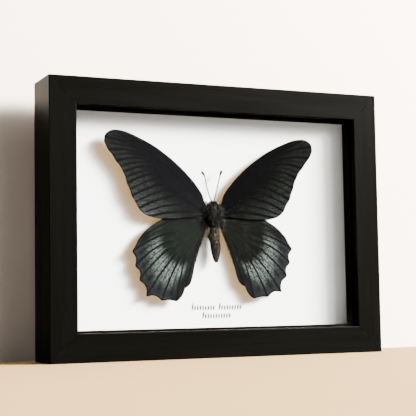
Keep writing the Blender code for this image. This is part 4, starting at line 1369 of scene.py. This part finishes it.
# %% [markdown]
# ## Stage: floor, wall, world and lamps
# The frame stands on a beige floor a hand's breadth in front of a pale wall, which takes the soft shadow on
# its left. The wall has to vanish for whoever walks behind it, so its back is clear, and it lets every lamp
# through. The world is dim in front, because black wood and glass show whatever stands there. One broad
# lamp high on the right is nearly all the light: its size gives the wide soft shade under the lip. The
# floor hides from the glass and sends little light back, so that black stays black.

# %% floor and wall
WALL_BACK = 0.026
FLOOR_BEIGE = ((0.170, 0.108, 0.046), (0.185, 0.120, 0.053))
WALL_WHITE = ((0.56, 0.475, 0.395), (0.59, 0.50, 0.42))


def stage_paper(name, colours):
    """Smooth matt paper for the stage. Returns the tree and the shader, so that the wall can add to it."""
    surface, tree = fresh_material(name)
    felt = use_group(tree, pressed_fibres, fibre_scale=400.0, cloud_scale=10.0)
    bump = add(tree, "Bump", {"Height": felt["Fibres"], "Strength": 0.1, "Distance": 0.0001})
    shader = add(tree, "BsdfPrincipled", {
        "Base Color": blend_colours(tree, felt["Cloud"], *colours), "Normal": bump.outputs[0],
        "Roughness": ramp_between(tree, felt["Fibres"], 0.0, 1.0, 0.8, 0.9), "Specular IOR Level": 0.0,
    })
    return surface, tree, shader


def stage_board(name, low, high, surface):
    """A broad thin board with eased edges."""
    low, high = Vector(low), Vector(high)
    shape = bmesh.new()
    bmesh.ops.create_cube(shape, size=1.0)
    for vertex in shape.verts:
        vertex.co = Vector([l + (h - l) * (c + 0.5) for l, h, c in zip(low, high, vertex.co)])
    bmesh.ops.bevel(shape, geom=shape.edges[:], offset=min(high - low) * 0.3, segments=2, affect="EDGES")
    mesh = bpy.data.meshes.new(name)
    shape.to_mesh(mesh)
    shape.free()
    mesh.materials.append(surface)
    board = bpy.data.objects.new(name, mesh)
    bpy.context.scene.collection.objects.link(board)


surface, tree, shader = stage_paper("floor_paper", FLOOR_BEIGE)
flag = add(tree, "BsdfDiffuse", {"Color": (0.05, 0.048, 0.046, 1.0)})
unlit = add(tree, "BsdfDiffuse", {"Color": (0.002, 0.002, 0.002, 1.0)})
path = add(tree, "LightPath")
calmed = add(tree, "MixShader", {0: path.outputs["Is Diffuse Ray"], 1: shader.outputs[0],
                                 2: flag.outputs[0]})
hidden = add(tree, "MixShader", {0: path.outputs["Is Glossy Ray"], 1: calmed.outputs[0],
                                 2: unlit.outputs[0]})
finish_material(tree, hidden.outputs[0])
stage_board("floor", (-1.7, -1.7, -0.02), (1.7, 1.7, 0.0), surface)

surface, tree, shader = stage_paper("wall_paper", WALL_WHITE)
nothing = add(tree, "BsdfTransparent")
from_behind = add(tree, "NewGeometry").outputs["Backfacing"]
one_sided = add(tree, "MixShader", {0: from_behind, 1: shader.outputs[0], 2: nothing.outputs[0]})
for_lamps = add(tree, "MixShader", {0: add(tree, "LightPath").outputs["Is Shadow Ray"],
                                    1: one_sided.outputs[0],
                                    2: nothing.outputs[0]})
finish_material(tree, for_lamps.outputs[0])
corners = [(-2.5, WALL_BACK, 0.0), (2.5, WALL_BACK, 0.0), (2.5, WALL_BACK, 2.5), (-2.5, WALL_BACK, 2.5)]
wall_mesh = bpy.data.meshes.new("wall")
wall_mesh.from_pydata(corners, [], [(0, 1, 2, 3)])
wall_mesh.materials.append(surface)
wall = bpy.data.objects.new("wall", wall_mesh)
bpy.context.scene.collection.objects.link(wall)
print("wall faces the viewer:", wall_mesh.polygons[0].normal.y < 0)

# %% world
WALL_COLOUR = (6.4, 5.4, 4.4)
world = bpy.data.worlds.new("soft_room")
bpy.context.scene.world = world
world.use_nodes = True
tree = world.node_tree
tree.nodes.clear()
path = add(tree, "LightPath")
direction = add(tree, "TexCoord").outputs["Generated"]
height = add(tree, "SeparateXYZ", {0: direction}).outputs["Z"]
dome = ramp_between(tree, height, -0.1, 0.9, 0.08, 0.38)
in_front = add(tree, "VectorMath", {0: direction, 1: (0.40, -0.91, 0.08)},
               operation="DOT_PRODUCT").outputs["Value"]
shade = ramp_between(tree, in_front, 0.50, 0.90, 1.0, 0.06)
dome_light = add(tree, "Background", {"Color": (1.0, 0.98, 0.95),
                                      "Strength": math_node(tree, "MULTIPLY", dome, shade)})
wall_light = add(tree, "Background", {"Color": (*WALL_COLOUR, 1.0), "Strength": 1.0})
both = add(tree, "MixShader", {0: path.outputs["Is Camera Ray"], 1: dome_light.outputs[0],
                               2: wall_light.outputs[0]})
add(tree, "OutputWorld", {"Surface": both.outputs[0]})
print("world ready")

# %% lamps


def soft_lamp(name, place, size, watts, colour):
    """A flat lamp that faces the middle of the frame and that the camera can't see."""
    data = bpy.data.lights.new(name, "AREA")
    data.shape = "RECTANGLE"
    data.size, data.size_y = size
    data.energy = watts
    data.color = colour
    lamp = bpy.data.objects.new(name, data)
    bpy.context.scene.collection.objects.link(lamp)
    lamp.location = place
    lamp.visible_camera = False
    aim = Vector((0.0, 0.0, MIDDLE_HEIGHT)) - Vector(place)
    lamp.rotation_mode = "QUATERNION"
    lamp.rotation_quaternion = aim.to_track_quat("-Z", "Y")
    return lamp


soft_lamp("key_far_right", (1.36, -0.86, 0.90), (0.50, 0.40), 620.0, (1.0, 0.995, 0.985))
soft_lamp("key_halo", (1.30, -0.90, 0.88), (1.25, 0.85), 330.0, (1.0, 0.995, 0.985))
soft_lamp("broad_near_right", (0.60, -1.20, 0.84), (0.80, 0.50), 8.0, (1.0, 0.99, 0.975))
soft_lamp("fill_left", (-1.3, -0.30, 0.55), (0.8, 0.8), 4.0, (0.96, 0.98, 1.0))
soft_lamp("back_soft", (0.4, 1.3, 1.0), (0.9, 0.9), 26.0, (1.0, 0.98, 0.95))
